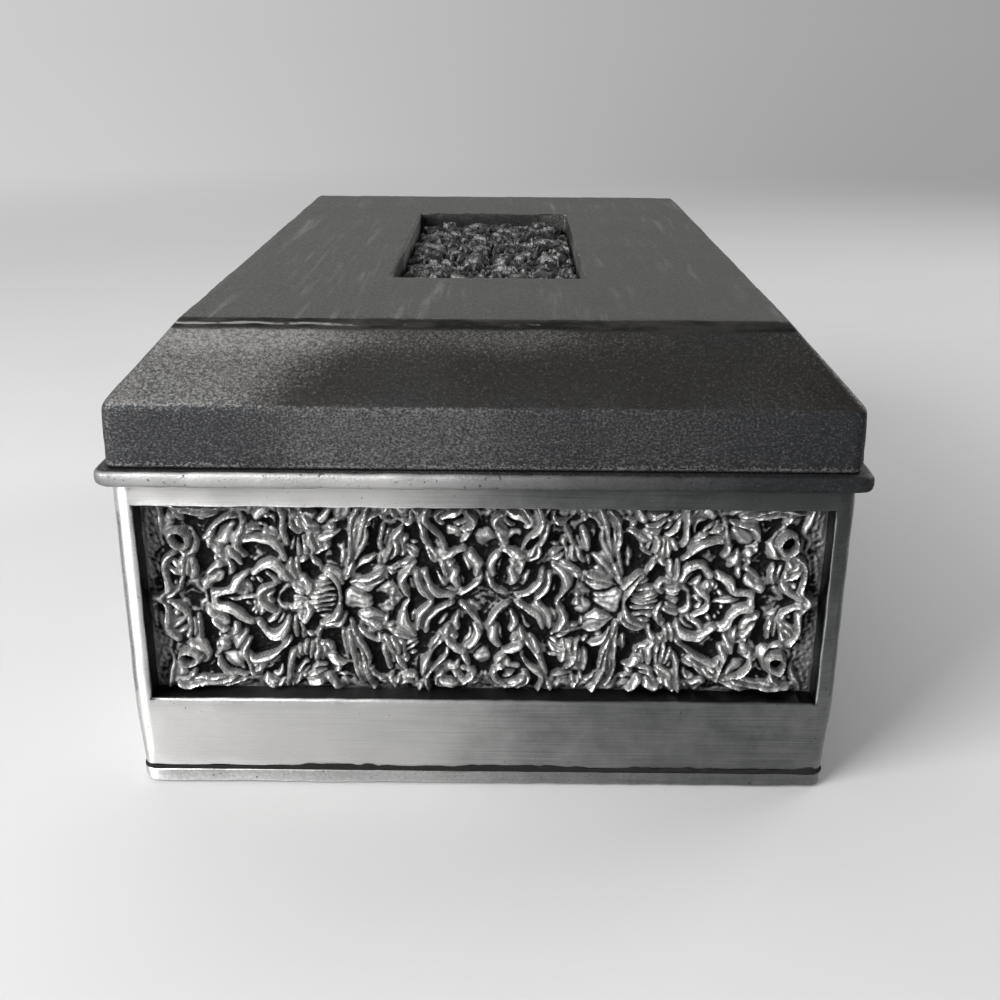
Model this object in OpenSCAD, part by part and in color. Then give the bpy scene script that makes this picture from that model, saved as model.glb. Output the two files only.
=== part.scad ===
// Cast keepsake box with a lift-off lid and seated relief panels.
// Millimetres, +Z up, origin under the middle of the felt the box stands on.
// The short end with the front panel faces -Y, the length runs along Y.

/* [Body] */
// Width of the body over its long sides
body_w = 75.8; // [66:0.2:96]
// Length of the body over its short ends
body_l = 113.4; // [96:0.2:150]
// Plan radius of the body's upright corners
corner_r = 1.8; // [0.8:0.1:2]
// Height of the lower rail, under the windows
rail_low = 8.6; // [5:0.1:14]
// Height of the windows in the four walls
window_h = 22.1; // [16:0.1:34]
// Height of the top rail, over the windows
rail_top = 2.4; // [1.8:0.1:6]
// Width of the stiles beside the windows of the short ends
stile_end = 2.25; // [2:0.05:5]
// Width of the stiles beside the windows of the long sides
stile_side = 5.2; // [5.2:0.1:10]
// How far the lower rail draws in on its way down
draw_in = 0.45; // [0.1:0.05:1]

/* [Windows and panels] */
// Depth of each window from the wall's face to the panel's ground
recess_depth = 3; // [2:0.1:3.4]
// Thickness of a relief panel's plate
panel_t = 1.4; // [1:0.1:2]
// Width of the ledge that each panel seats behind, all round its window
seat = 0.8; // [0.5:0.1:1]
// Clearance round a panel in its rebate
panel_fit = 0.1; // [0.05:0.01:0.2]
// Height of the tallest ornament over a panel's ground
relief_h = 2.3; // [1.2:0.1:2.6]
// Bare ground left between the ornament and the window's edge
relief_margin = 0.5; // [0.3:0.1:1.5]

/* [Base] */
// Thickness of the base plate's edge
base_t = 1.6; // [1.4:0.1:3]
// How far the base plate stands out past the body's foot
base_out = 0.2; // [0:0.05:0.8]
// Rounding chamfer on the base plate's lower edge
base_chamfer = 0.4; // [0.1:0.05:0.8]
// Height of the step on the base plate that locates it in the body
base_step_h = 1; // [0.5:0.1:2]
// Clearance between that step and the body's walls
base_step_fit = 0.15; // [0.05:0.05:0.3]
// Thickness of the filler in the joint between body and base
seam_t = 0.3; // [0.2:0.05:0.8]
// How far the filler lies back from the body's face
seam_in = 0.3; // [0.1:0.05:1]
// Thickness of the felt under the box
felt_t = 0.9; // [0.6:0.05:1.1]
// How far the felt stands out of its recess
felt_proud = 0.2; // [0.1:0.05:0.4]
// Distance from the base plate's edge to the felt
felt_margin = 4; // [2:0.5:12]

/* [Lid] */
// How far the foot of the lid's band stands out past the body
band_out = 0.26; // [0.1:0.02:0.6]
// How much wider the band is at its foot than at its crease
band_flare = 0.16; // [0.05:0.01:0.4]
// Height of the upright band
band_h = 6.4; // [4:0.1:12]
// Inward run of the bevels
bevel_run = 7.1; // [5:0.1:12]
// Rise of the bevels
bevel_rise = 7.5; // [5:0.1:12]
// Plan radius of the band's corners
lid_corner_r = 1.2; // [0.5:0.1:2]
// Height of the half-round moulding round the lid's foot
moulding_h = 1.8; // [1.2:0.1:3]
// How far the moulding stands out past the band
moulding_out = 1.07; // [0.6:0.01:2]
// Plan radius of the moulding's corners
moulding_corner_r = 1.7; // [1.6:0.1:4]
// Width of the window in the lid's top
lid_window_w = 22.9; // [16:0.1:32]
// Length of the window in the lid's top
lid_window_l = 54.8; // [40:0.1:72]
// Thickness of the lid's wall at the band
lid_wall = 4.1; // [3.2:0.1:4.2]

/* [Lining] */
// Thickness of the covered boards inside the body
lining_t = 1.4; // [1:0.1:3]
// How far those boards rise past the rim to locate the lid
lining_rise = 2.5; // [1:0.1:5]
// Clearance of the boards to walls and to each other
lining_fit = 0.1; // [0.05:0.05:0.3]
// Thickness of the pads at their edge
pad_edge = 1.2; // [0.8:0.1:2]
// Extra height of the pads at their middle
pad_crown = 0.8; // [0.3:0.1:1.5]
// Clearance round the pads
pad_fit = 0.3; // [0.2:0.05:1]
// How far a pad's sides draw in above and below its fullest line
pad_draw = 0.4; // [0.2:0.1:0.8]
// Plan radius of the pads' corners
pad_corner_r = 2; // [1:0.5:5]

/* [Hidden] */
$fn = 48;

// The walls in turn round the box, seen from above against the clock
WALLS = ["front", "right", "back", "left"];

wall = recess_depth + panel_t;
inner_w = body_w - 2 * wall;
inner_l = body_l - 2 * wall;

z_base = felt_proud;
z_seam = z_base + base_t;
z_body = z_seam + seam_t;
z_window = z_body + rail_low;
z_window_top = z_window + window_h;
z_rim = z_window_top + rail_top;
z_band = z_rim + moulding_h;
z_crease = z_band + band_h;
z_top = z_crease + bevel_rise;
z_step = z_body + base_step_h;

foot_w = body_w - 2 * draw_in;
foot_l = body_l - 2 * draw_in;
base_w = foot_w + 2 * base_out;
base_l = foot_l + 2 * base_out;

lid_w = body_w + 2 * band_out;
lid_l = body_l + 2 * band_out;
moulding_w = lid_w + 2 * moulding_out;
moulding_l = lid_l + 2 * moulding_out;
lid_inner_w = lid_w - 2 * band_flare - 2 * lid_wall;
lid_inner_l = lid_l - 2 * band_flare - 2 * lid_wall;
z_ceiling = z_top - wall;
ceiling_in = (z_ceiling - z_crease) * bevel_run / bevel_rise;

// Reach past a face, so that a cut leaves no skin behind
past = 1;
// How deep ornament roots in its plate
root = 0.4;

// The ornament is drawn at these half sizes and height, and stretched to the panel that carries it.
draft_u = 35.65;
draft_v = 11.05;
draft_h = 2.3;

function is_long(side) = side == "left" || side == "right";
function wall_turn(side) = 90 * search([side], WALLS)[0];
function wall_reach(side) = (is_long(side) ? body_w : body_l) / 2;
function window_w(side) = is_long(side) ? body_l - 2 * stile_side : body_w - 2 * stile_end;

// Outline of a block's upright section: levels are [inset, height] pairs from the bottom up.
function section(half, levels) = concat(
  [for (level = levels) [half - level[0], level[1]]],
  [for (i = [len(levels) - 1:-1:0]) [levels[i][0] - half, levels[i][1]]]
);

module rounded_rect(w, l, r) {
  square([w - 2 * r, l], center = true);
  square([w, l - 2 * r], center = true);
  for (x = [-1, 1], y = [-1, 1])
    translate([x * (w / 2 - r), y * (l / 2 - r)])
      circle(r);
}

// A block with the same section on all four sides, mitred at its corners and rounded in plan.
module block(w, l, r, levels) {
  low = levels[0][1];
  high = levels[len(levels) - 1][1];
  intersection() {
    rotate([90, 0, 0])
      linear_extrude(l + 2 * past, center = true)
        polygon(section(w / 2, levels));
    rotate([90, 0, 90])
      linear_extrude(w + 2 * past, center = true)
        polygon(section(l / 2, levels));
    translate([0, 0, low])
      linear_extrude(high - low)
        rounded_rect(w, l, r);
  }
}

module slab(w, l, low, high) {
  translate([-w / 2, -l / 2, low])
    cube([w, l, high - low]);
}

// Half of a half-round moulding's section, from its corner's centre out to its nose
module nose_section(r, high) {
  nose = high / 2;
  square([r - nose, high]);
  intersection() {
    translate([r - nose, nose])
      circle(nose);
    translate([r - nose, 0])
      square([nose, high]);
  }
}

// A slab whose edge is a half-round nose, with round corners in plan.
module nosed_slab(w, l, r, low, high) {
  translate([0, 0, low]) {
    slab(w - 2 * r, l - 2 * r, 0, high - low);
    for (turn = [0:3]) {
      odd = turn % 2;
      side = (odd ? w : l) - 2 * r;
      rotate([0, 0, 90 * turn])
        translate([(odd ? l : w) / 2 - r, 0, 0]) {
          rotate([90, 0, 0])
            linear_extrude(side, center = true)
              nose_section(r, high - low);
          translate([0, side / 2, 0])
            rotate_extrude(angle = 90)
              nose_section(r, high - low);
        }
    }
  }
}

// Puts its child on a wall: X runs along the wall, Y goes from its face into the box.
module on_wall(side) {
  rotate([0, 0, wall_turn(side)])
    translate([0, -wall_reach(side), 0])
      children();
}

// Body

module window_cut(side) {
  w = window_w(side);
  on_wall(side) {
    translate([-w / 2, -past, z_window])
      cube([w, recess_depth + 2 * past, window_h]);
    translate([-w / 2 - seat, recess_depth, z_window - seat])
      cube([w + 2 * seat, panel_t + past, window_h + 2 * seat]);
  }
}

module body_frame() {
  color([0.66, 0.66, 0.64])
    difference() {
      block(body_w, body_l, corner_r, [[draw_in, z_body], [0, z_window], [0, z_rim]]);
      slab(inner_w, inner_l, z_body - past, z_rim + past);
      for (side = WALLS)
        window_cut(side);
    }
}

module base_plate() {
  color([0.58, 0.58, 0.56])
    difference() {
      union() {
        block(base_w, base_l, corner_r, [
          [base_chamfer, z_base], [0, z_base + base_chamfer], [0, z_seam]
        ]);
        slab(inner_w - 2 * base_step_fit, inner_l - 2 * base_step_fit, z_seam - root, z_step);
      }
      slab(base_w - 2 * felt_margin, base_l - 2 * felt_margin, z_base - past, felt_t);
    }
}

module seam_filler() {
  color([0.07, 0.06, 0.05])
    difference() {
      slab(foot_w - 2 * seam_in, foot_l - 2 * seam_in, z_seam, z_body);
      slab(inner_w, inner_l, z_seam - past, z_body + past);
    }
}

module base_felt() {
  color([0.10, 0.16, 0.12])
    slab(base_w - 2 * felt_margin - 2 * panel_fit, base_l - 2 * felt_margin - 2 * panel_fit, 0, felt_t);
}

// Relief ornament: a quarter of the design is drawn and mirrored both ways.

function unit(v) = v / norm(v);
function along(path, i) =
  unit([for (k = [0, 1]) path[min(i + 1, len(path) - 1)][k] - path[max(i - 1, 0)][k]]);

// A raised blade with a crest: each station of its path is [along, up, width, height].
module ridge(path) {
  n = len(path);
  points = [
    for (i = [0:n - 1])
      let (p = path[i], t = along(path, i), side = [-t[1], t[0]] * p[2] / 2)
        each [
          [p[0] + side[0], p[1] + side[1], -root],
          [p[0], p[1], p[3]],
          [p[0] - side[0], p[1] - side[1], -root]
        ]
  ];
  walls = [
    for (i = [0:n - 2], k = [0:2])
      let (a = 3 * i + k, b = 3 * i + (k + 1) % 3)
        each [[a, a + 3, b], [b, a + 3, b + 3]]
  ];
  polyhedron(points, concat([[0, 1, 2]], walls, [[3 * n - 1, 3 * n - 2, 3 * n - 3]]));
}

// Stations along an arc, given as [centre along, centre up, radius along, radius up, width, height]
function arc_path(arc, from, to, steps) = [
  for (i = [0:steps])
    let (a = from + (to - from) * i / steps)
      [arc[0] + arc[2] * cos(a), arc[1] + arc[3] * sin(a), arc[4], arc[5]]
];

// A ring boss, like an eyelet
module ring(radius, width, height) {
  rotate_extrude($fn = 7)
    polygon([[radius - width, -root], [radius, -root], [radius - width / 2, height]]);
}

// A faceted petal from a root point to a lower tip
module petal(from, to, r_from, r_to, height) {
  tip_drop = 0.8;
  hull() {
    translate([from[0], from[1], -root])
      cylinder(h = root + height, r1 = r_from, r2 = 0.3 * r_from, $fn = 4);
    translate([to[0], to[1], -root])
      cylinder(h = root + tip_drop * height, r1 = r_to, r2 = 0.3 * r_to, $fn = 4);
  }
}

// Stretches a path along, up and in height.
function stretch(path, k) =
  [for (p = path) [p[0] * k[0], p[1] * k[1], p[2] * min(k[0], k[1]), p[3] * k[2]]];

// Strands of the outer bracket, which points outward at mid height
BRACKET = [
  [[34.9, 0.3, 0.6, 1.2], [33.5, 1.8, 1.2, 1.6], [32.9, 4.7, 0.8, 1.3]],
  [[33.0, 0.6, 0.5, 1.0], [31.8, 2.4, 1.5, 1.5], [31.6, 4.3, 0.8, 1.2]],
  [[33.6, 7.2, 0.7, 1.2], [33.9, 10.4, 1.4, 1.6]],
  [[32.4, 10.2, 0.7, 1.2], [29.2, 10.0, 1.5, 1.6], [26.3, 9.7, 0.6, 1.2]]
];
// Wavy leaf beside the ring boss
WAVY_LEAF = [[28.9, 8.6, 0.6, 1.2], [28.5, 6.4, 1.8, 1.8], [27.2, 3.9, 1.9, 1.7], [29.3, 1.5, 0.7, 1.2]];
// Broad arch that sweeps from the wavy leaf down to the sheaf
ARCH = [[25.6, 5.2, 1.1, 1.8], [26.2, 7.4, 2.3, 2.3], [23.6, 7.8, 2.5, 2.3], [20.5, 4.6, 1.0, 1.5]];
// Outline of the open flower head
FLOWER = [[28.3, 0.6, 0.9, 1.5], [25.8, 1.8, 1.3, 2.0], [23.1, 3.8, 1.6, 2.1], [20.6, 2.5, 0.8, 1.5]];
// Petals of the bell flower that hangs between the arch and the fan
BELL = [
  [[18.9, 4.4, 0.8, 1.5], [20.3, 7.0, 1.9, 2.0], [20.7, 10.3, 1.2, 1.5]],
  [[17.7, 4.6, 0.8, 1.7], [18.2, 7.6, 2.3, 2.1], [18.1, 10.4, 1.3, 1.5]],
  [[16.5, 4.2, 0.7, 1.5], [16.0, 7.4, 1.9, 1.9], [15.5, 10.3, 1.2, 1.4]]
];
// Leaf blades that fan out from the collar
FAN = [
  [[14.3, 3.5, 0.7, 1.4], [13.4, 7.0, 2.1, 2.1], [12.4, 10.5, 1.2, 1.4]],
  [[13.4, 2.6, 0.7, 1.4], [11.1, 6.6, 2.3, 2.1], [9.7, 10.3, 1.3, 1.4]],
  [[13.0, 1.6, 0.7, 1.4], [9.3, 5.0, 2.3, 2.0], [7.9, 8.6, 1.1, 1.4]],
  [[13.2, 0.7, 0.6, 1.3], [10.2, 2.0, 1.9, 1.8], [7.9, 3.8, 1.1, 1.4]]
];
// Acanthus leaves and ribbon beside the middle curls
ACANTHUS = [
  [[9.9, 0.6, 0.6, 1.2], [7.0, 1.0, 1.6, 1.7], [4.4, 0.6, 0.7, 1.2]],
  [[6.9, 10.4, 1.0, 1.5], [6.3, 8.4, 1.8, 2.1], [5.2, 6.4, 1.0, 1.5]],
  [[7.3, 5.6, 0.6, 1.2], [6.0, 3.7, 1.7, 1.9], [6.9, 2.2, 0.6, 1.2]]
];
// Strands of the sheaf between the flower head and the collar
SHEAF = [
  [[19.9, 0.4, 0.7, 1.3], [15.3, 0.6, 1.0, 1.7]],
  [[19.9, 1.2, 0.6, 1.3], [15.5, 1.9, 1.0, 1.6]]
];
// Arcs: the collar round the sheaf, and the two curls beside the panel's middle
COLLAR = [17.4, 0, 3.2, 3.5, 1.2, 2.2];
LOWER_CURL = [2.6, 3.2, 1.5, 1.9, 1.3, 2.1];
UPPER_CURL = [2.7, 8.3, 1.4, 1.5, 1.2, 1.9];
// The ring boss: place, radius, width and height
EYELET = [31.2, 6.4];
eyelet_r = 1.6;
eyelet_w = 1.1;
eyelet_h = 2.1;
// The seed inside the flower head: its root, its tip, its radius and height
SEED_ROOT = [21.5, 1.1];
SEED_TIP = [24.8, 1.0];
seed_r = 0.8;
seed_h = 1.6;

module quarter(k) {
  k_plan = min(k[0], k[1]);
  arcs = [
    arc_path(COLLAR, 176, 112, 2),
    arc_path(LOWER_CURL, -55, 225, 4),
    arc_path(UPPER_CURL, -50, 200, 4)
  ];
  for (path = concat(BRACKET, [WAVY_LEAF, ARCH, FLOWER], BELL, FAN, ACANTHUS, SHEAF, arcs))
    ridge(stretch(path, k));
  translate([EYELET[0] * k[0], EYELET[1] * k[1], 0])
    ring(eyelet_r * k_plan, eyelet_w * k_plan, eyelet_h * k[2]);
  petal(
    [SEED_ROOT[0] * k[0], SEED_ROOT[1] * k[1]], [SEED_TIP[0] * k[0], SEED_TIP[1] * k[1]],
    seed_r * k_plan, seed_r * k_plan, seed_h * k[2]
  );
}

module mirrored_quarters(k, shift) {
  for (u = [0, 1], v = [0, 1])
    mirror([u, 0, 0])
      mirror([0, v, 0])
        translate([shift, 0, 0])
          quarter(k);
}

// Rosette for the middle of the long panels, where the two mirrored halves stand apart
module rosette(reach, rise) {
  ring(0.26 * rise, 0.15 * rise, relief_h);
  for (i = [0:7])
    rotate(45 * i)
      petal([0.34 * rise, 0], [0.66 * rise, 0], 0.08 * rise, 0.16 * rise, 0.85 * relief_h);
  for (u = [-1, 1], v = [-1, 1])
    ridge([
      [u * 0.36 * rise, v * 0.9 * rise, 0.06 * rise, 0.5 * relief_h],
      [u * 0.6 * reach, v * 0.74 * rise, 0.2 * rise, 0.9 * relief_h],
      [u * 0.9 * reach, v * 0.28 * rise, 0.08 * rise, 0.6 * relief_h]
    ]);
  for (u = [-1, 1])
    ridge([
      [u * 0.5 * reach, 0, 0.08 * rise, 0.5 * relief_h],
      [u * 0.72 * reach, 0, 0.22 * rise, 0.85 * relief_h],
      [u * 0.92 * reach, 0, 0.06 * rise, 0.5 * relief_h]
    ]);
}

// A relief panel lying flat, ornament up, its ground at height 0
module panel(w, h, half_design) {
  u = half_design - relief_margin;
  v = h / 2 - relief_margin;
  shift = w / 2 - half_design;
  union() {
    slab(w + 2 * seat - 2 * panel_fit, h + 2 * seat - 2 * panel_fit, -panel_t, 0);
    mirrored_quarters([u / draft_u, v / draft_v, relief_h / draft_h], shift);
    if (shift > 0)
      rosette(shift, v);
  }
}

module wall_relief(side) {
  half_design = min(window_w(side), window_w("front")) / 2;
  color([0.52, 0.52, 0.50])
    on_wall(side)
      translate([0, recess_depth, z_window + window_h / 2])
        rotate([90, 0, 0])
          panel(window_w(side), window_h, half_design);
}

module lid_relief() {
  color([0.36, 0.36, 0.34])
    translate([0, 0, z_top - recess_depth])
      rotate([0, 0, 90])
        panel(lid_window_l, lid_window_w, lid_window_l / 2);
}

// Lid

module lid_shell() {
  color([0.42, 0.42, 0.40])
    difference() {
      union() {
        nosed_slab(moulding_w, moulding_l, moulding_corner_r, z_rim, z_band);
        block(lid_w, lid_l, lid_corner_r, [
          [0, z_band - root], [0, z_band], [band_flare, z_crease], [band_flare + bevel_run, z_top]
        ]);
      }
      block(lid_inner_w, lid_inner_l, 0.5, [
        [0, z_rim - past], [0, z_crease], [ceiling_in, z_ceiling]
      ]);
      slab(lid_window_w, lid_window_l, z_ceiling - past, z_top + past);
      slab(lid_window_w + 2 * seat, lid_window_l + 2 * seat, z_ceiling - past, z_top - recess_depth);
    }
}

// Lining

module lining_board(side) {
  across = is_long(side) ? inner_l - 2 * lining_fit : inner_w - 2 * (lining_t + 2 * lining_fit);
  top = z_rim + lining_rise;
  color([0.30, 0.08, 0.11])
    on_wall(side)
      translate([0, wall + lining_fit + lining_t / 2, 0]) {
        translate([-across / 2, -lining_t / 2, z_step])
          cube([across, lining_t, top - z_step - lining_t / 2]);
        translate([0, 0, top - lining_t / 2])
          rotate([0, 90, 0])
            cylinder(d = lining_t, h = across, center = true);
      }
}

pad_w = inner_w - 2 * (lining_t + lining_fit + pad_fit);
pad_l = inner_l - 2 * (lining_t + lining_fit + pad_fit);
lid_pad_w = lid_inner_w - 2 * ceiling_in - 2 * pad_edge - 2 * pad_fit;
lid_pad_l = lid_inner_l - 2 * ceiling_in - 2 * pad_edge - 2 * pad_fit;

// Points round a rounded rectangle at one height, four to a corner
function rounded_ring(w, l, r, z) = [
  for (corner = [0:3], step = [0:3])
    let (
      a = 90 * corner + 30 * step,
      x = corner == 0 || corner == 3 ? 1 : -1,
      y = corner < 2 ? 1 : -1
    )
      [x * (w / 2 - r) + r * cos(a), y * (l / 2 - r) + r * sin(a), z]
];

// A closed skin over rings of equally many points, stacked from the bottom up
module loft(rings) {
  count = len(rings[0]);
  last = len(rings) - 1;
  points = [for (ring = rings) each ring];
  sides = [
    for (i = [0:last - 1], k = [0:count - 1])
      let (a = count * i + k, b = count * i + (k + 1) % count)
        each [[a, a + count, b], [b, a + count, b + count]]
  ];
  bottom = [for (k = [0:count - 1]) k];
  top = [for (k = [count - 1:-1:0]) count * last + k];
  polyhedron(points, concat([bottom], sides, [top]));
}

// A pad lying on the plane z = 0: sides drawn in over and under its fullest line, and a crown
module crowned_pad(w, l) {
  levels = [
    [pad_draw, 0], [0, pad_edge / 2], [pad_draw, pad_edge], [0.1 * w, pad_edge + 0.5 * pad_crown],
    [0.22 * w, pad_edge + 0.85 * pad_crown], [0.36 * w, pad_edge + pad_crown]
  ];
  loft([for (p = levels) rounded_ring(w - 2 * p[0], l - 2 * p[0], pad_corner_r, p[1])]);
}

module floor_pad() {
  color([0.34, 0.09, 0.12])
    translate([0, 0, z_step])
      crowned_pad(pad_w, pad_l);
}

module lid_lining() {
  color([0.34, 0.09, 0.12])
    translate([0, 0, z_ceiling])
      rotate([180, 0, 0])
        crowned_pad(lid_pad_w, lid_pad_l);
}

body_frame();
base_plate();
seam_filler();
base_felt();
wall_relief("front");  // front_relief
wall_relief("back");  // back_relief
wall_relief("left");  // left_relief
wall_relief("right");  // right_relief
lining_board("front");  // front_lining
lining_board("back");  // back_lining
lining_board("left");  // left_lining
lining_board("right");  // right_lining
floor_pad();
lid_shell();
lid_relief();
lid_lining();
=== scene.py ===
"""Dresses the cast box: its shells, relief panels, lining, pads, floor, lamps and camera.

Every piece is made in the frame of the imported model. Sizes inside the classes are in
millimetres, and a mesh is written in metres when its object is made.
"""
from __future__ import annotations

import logging
import math
from dataclasses import dataclass
from enum import Enum
from typing import Callable, Iterable, Sequence

import bmesh
import bpy
import numpy as np
from mathutils import Matrix, Vector


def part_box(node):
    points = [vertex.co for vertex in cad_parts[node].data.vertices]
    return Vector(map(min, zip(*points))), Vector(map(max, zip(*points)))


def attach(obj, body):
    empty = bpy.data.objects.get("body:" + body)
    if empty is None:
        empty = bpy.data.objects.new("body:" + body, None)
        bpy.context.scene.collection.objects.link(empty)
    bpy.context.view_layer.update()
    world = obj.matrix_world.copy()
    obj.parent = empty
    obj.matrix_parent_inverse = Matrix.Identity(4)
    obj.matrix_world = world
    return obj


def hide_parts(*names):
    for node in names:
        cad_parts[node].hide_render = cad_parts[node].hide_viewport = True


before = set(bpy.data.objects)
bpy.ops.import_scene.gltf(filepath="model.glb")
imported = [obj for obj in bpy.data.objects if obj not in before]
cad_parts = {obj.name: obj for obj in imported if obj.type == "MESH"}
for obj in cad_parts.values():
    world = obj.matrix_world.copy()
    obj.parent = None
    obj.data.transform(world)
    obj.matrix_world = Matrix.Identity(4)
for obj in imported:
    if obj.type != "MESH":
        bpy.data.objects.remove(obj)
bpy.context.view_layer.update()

MM = 0.001
WELD = 0.002
NEAR = 1e-6
Pair = tuple[float, float]
Triple = tuple[float, float, float]
Color = tuple[float, float, float, float]
Row = tuple[Pair, float, float]
Socket = bpy.types.NodeSocket
Choice = Callable[[np.ndarray, np.ndarray], np.ndarray]
log = logging.getLogger("box")


class Body(Enum):
    """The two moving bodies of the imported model."""

    BOX = "box"
    LID = "lid"


class Wall(Enum):
    """The four walls in turn round the box, with the turn from the front in degrees."""

    FRONT = 0
    RIGHT = 90
    BACK = 180
    LEFT = 270

    @property
    def is_long(self) -> bool:
        """Tells whether this wall runs along the box's length."""
        return self in (Wall.RIGHT, Wall.LEFT)

    @property
    def word(self) -> str:
        """Returns the wall's name as the nodes spell it."""
        return self.name.lower()

    def matrix(self) -> np.ndarray:
        """Works out the turn that takes the front wall to this one.

        Returns:
            Its matrix, 3 by 3.
        """
        turn = math.radians(self.value)
        cosine = round(math.cos(turn))
        sine = round(math.sin(turn))
        return np.array(((cosine, -sine, 0), (sine, cosine, 0), (0, 0, 1)), float)


def node_box(node: str) -> tuple[np.ndarray, np.ndarray]:
    """Reads a CAD node's box.

    Args:
        node: The node's name.

    Returns:
        Its lowest and highest corners in millimetres.
    """
    low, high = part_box(node)
    return np.array(low) / MM, np.array(high) / MM


class Skin:
    """A mesh in the making, as grids of points in millimetres."""

    def __init__(self) -> None:
        """Starts an empty skin."""
        self.points: list[np.ndarray] = []
        self.faces: list[tuple[int, ...]] = []
        self.count = 0

    def add_points(self, points: np.ndarray) -> int:
        """Adds points.

        Args:
            points: Any array whose last axis holds x, y and z.

        Returns:
            The number of the first point added.
        """
        flat = np.asarray(points, float).reshape(-1, 3)
        first = self.count
        self.points.append(flat)
        self.count += len(flat)
        return first

    def add_grid(self, grid: np.ndarray, wrap: bool = False, keep: np.ndarray | None = None) -> None:
        """Adds a grid of points with a quad in each cell.

        Args:
            grid: Rows by columns by 3.
            wrap: Whether the last column joins the first.
            keep: Rows less one by columns, False where a cell stays open.
        """
        rows, columns = grid.shape[:2]
        first = self.add_points(grid)
        index = first + np.arange(rows * columns).reshape(rows, columns)
        after = np.roll(index, -1, axis=1)
        quads = np.stack((index[:-1], after[:-1], after[1:], index[1:]), axis=-1)
        if not wrap:
            quads = quads[:, :-1]
        if keep is not None:
            quads = quads[keep]
        self.faces.extend(map(tuple, quads.reshape(-1, 4).tolist()))

    def add_cap(self, loop: np.ndarray) -> None:
        """Closes a loop of points with one face.

        Args:
            loop: Points by 3.
        """
        first = self.add_points(loop)
        self.faces.append(tuple(range(first, first + len(loop))))

    def add_barrel(self, grid: np.ndarray) -> None:
        """Adds loops joined into a skin that is closed by a face at both ends.

        Args:
            grid: Loops by points by 3.
        """
        self.add_grid(grid, wrap=True)
        self.add_cap(grid[0])
        self.add_cap(grid[-1])

    def build(self, name: str, sharp: float = 38.0, outward: bool = True) -> bpy.types.Object:
        """Makes the object.

        Args:
            name: The piece's name.
            sharp: Edges that bend more than this many degrees stay crisp.
            outward: Whether the faces are turned outward as one closed skin.

        Returns:
            The new object, linked into the scene.
        """
        mesh = bpy.data.meshes.new(name)
        points = np.concatenate(self.points) * MM
        mesh.from_pydata(points.tolist(), [], self.faces)
        if outward:
            work = bmesh.new()
            work.from_mesh(mesh)
            bmesh.ops.remove_doubles(work, verts=work.verts, dist=WELD * MM)
            bmesh.ops.recalc_face_normals(work, faces=work.faces)
            work.to_mesh(mesh)
            work.free()
        mesh.shade_smooth()
        mesh.set_sharp_from_angle(angle=math.radians(sharp))
        piece = bpy.data.objects.new(name, mesh)
        bpy.context.scene.collection.objects.link(piece)
        return piece


def span(low: float, high: float, step: float) -> np.ndarray:
    """Divides a length evenly.

    Args:
        low: Where it starts.
        high: Where it ends.
        step: The most that two points lie apart.

    Returns:
        The points, with both ends.
    """
    count = max(1, math.ceil(abs(high - low) / step - NEAR))
    return np.linspace(low, high, count + 1)


def through(stops: Sequence[float], step: float) -> np.ndarray:
    """Divides a length that has fixed stops.

    Args:
        stops: The stops in order.
        step: The most that two points lie apart.

    Returns:
        The points, with every stop once.
    """
    parts = [span(a, b, step)[:-1] for a, b in zip(stops, stops[1:])]
    return np.concatenate(parts + [np.array(stops[-1:])])


def rounded_loop(
    half: Pair, radius: float, across: np.ndarray, along: np.ndarray, corner: int
) -> np.ndarray:
    """Draws a rounded rectangle as a loop of points, against the clock from the front's left end.

    Args:
        half: Half its width and half its length.
        radius: Its corner radius.
        across: Places on a short side from -1 to 1, as shares of its straight part.
        along: The same on a long side.
        corner: How many steps a corner has.

    Returns:
        Points by 2.
    """
    reach = drawn_in(half, radius)
    turns = np.radians(np.linspace(0, 90, corner + 1))[1:-1]
    sides = []
    for wall in Wall:
        places = along if wall.is_long else across
        run, rise = (reach[1], half[0]) if wall.is_long else (reach[0], half[1])
        straight = np.stack((places * run, np.full(len(places), -rise)), axis=1)
        arc = np.stack((run + radius * np.sin(turns), -rise + radius * (1 - np.cos(turns))), axis=1)
        sides.append(np.concatenate((straight, arc)) @ wall.matrix()[:2, :2].T)
    return np.concatenate(sides)


def at_height(loop: np.ndarray, height: float | np.ndarray) -> np.ndarray:
    """Lifts a flat loop to a height.

    Args:
        loop: Points by 2.
        height: One height, or one to a point.

    Returns:
        Points by 3.
    """
    return np.column_stack((loop, np.broadcast_to(height, len(loop))))


def both_ways(half: Sequence[float], step: float) -> tuple[np.ndarray, np.ndarray]:
    """Returns places from -1 to 1 on the short and the long sides, at most a step apart."""
    return span(-1, 1, step / half[0]), span(-1, 1, step / half[1])


def drawn_in(half: Sequence[float], inset: float) -> Pair:
    """Returns half sizes less an inset."""
    return (half[0] - inset, half[1] - inset)


def stacked(rows: Sequence[Row], across: np.ndarray, along: np.ndarray, corner: int) -> np.ndarray:
    """Draws rounded rectangles as the loops of one skin.

    Args:
        rows: Half sizes, corner radius and height of each loop.
        across: Places on a short side from -1 to 1.
        along: The same on a long side.
        corner: How many steps a corner has.

    Returns:
        Loops by points by 3.
    """
    return np.stack([at_height(rounded_loop(h, r, across, along, corner), z) for h, r, z in rows])


def eased(radius: float, turns: Iterable[float]) -> list[Pair]:
    """Rounds an edge.

    Args:
        radius: The radius of the round.
        turns: Angles along it from 0 to a right angle.

    Returns:
        What each point has left to the round's end, and how far it has come.
    """
    return [(radius * (1 - math.sin(a)), radius * (1 - math.cos(a))) for a in turns]


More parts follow.
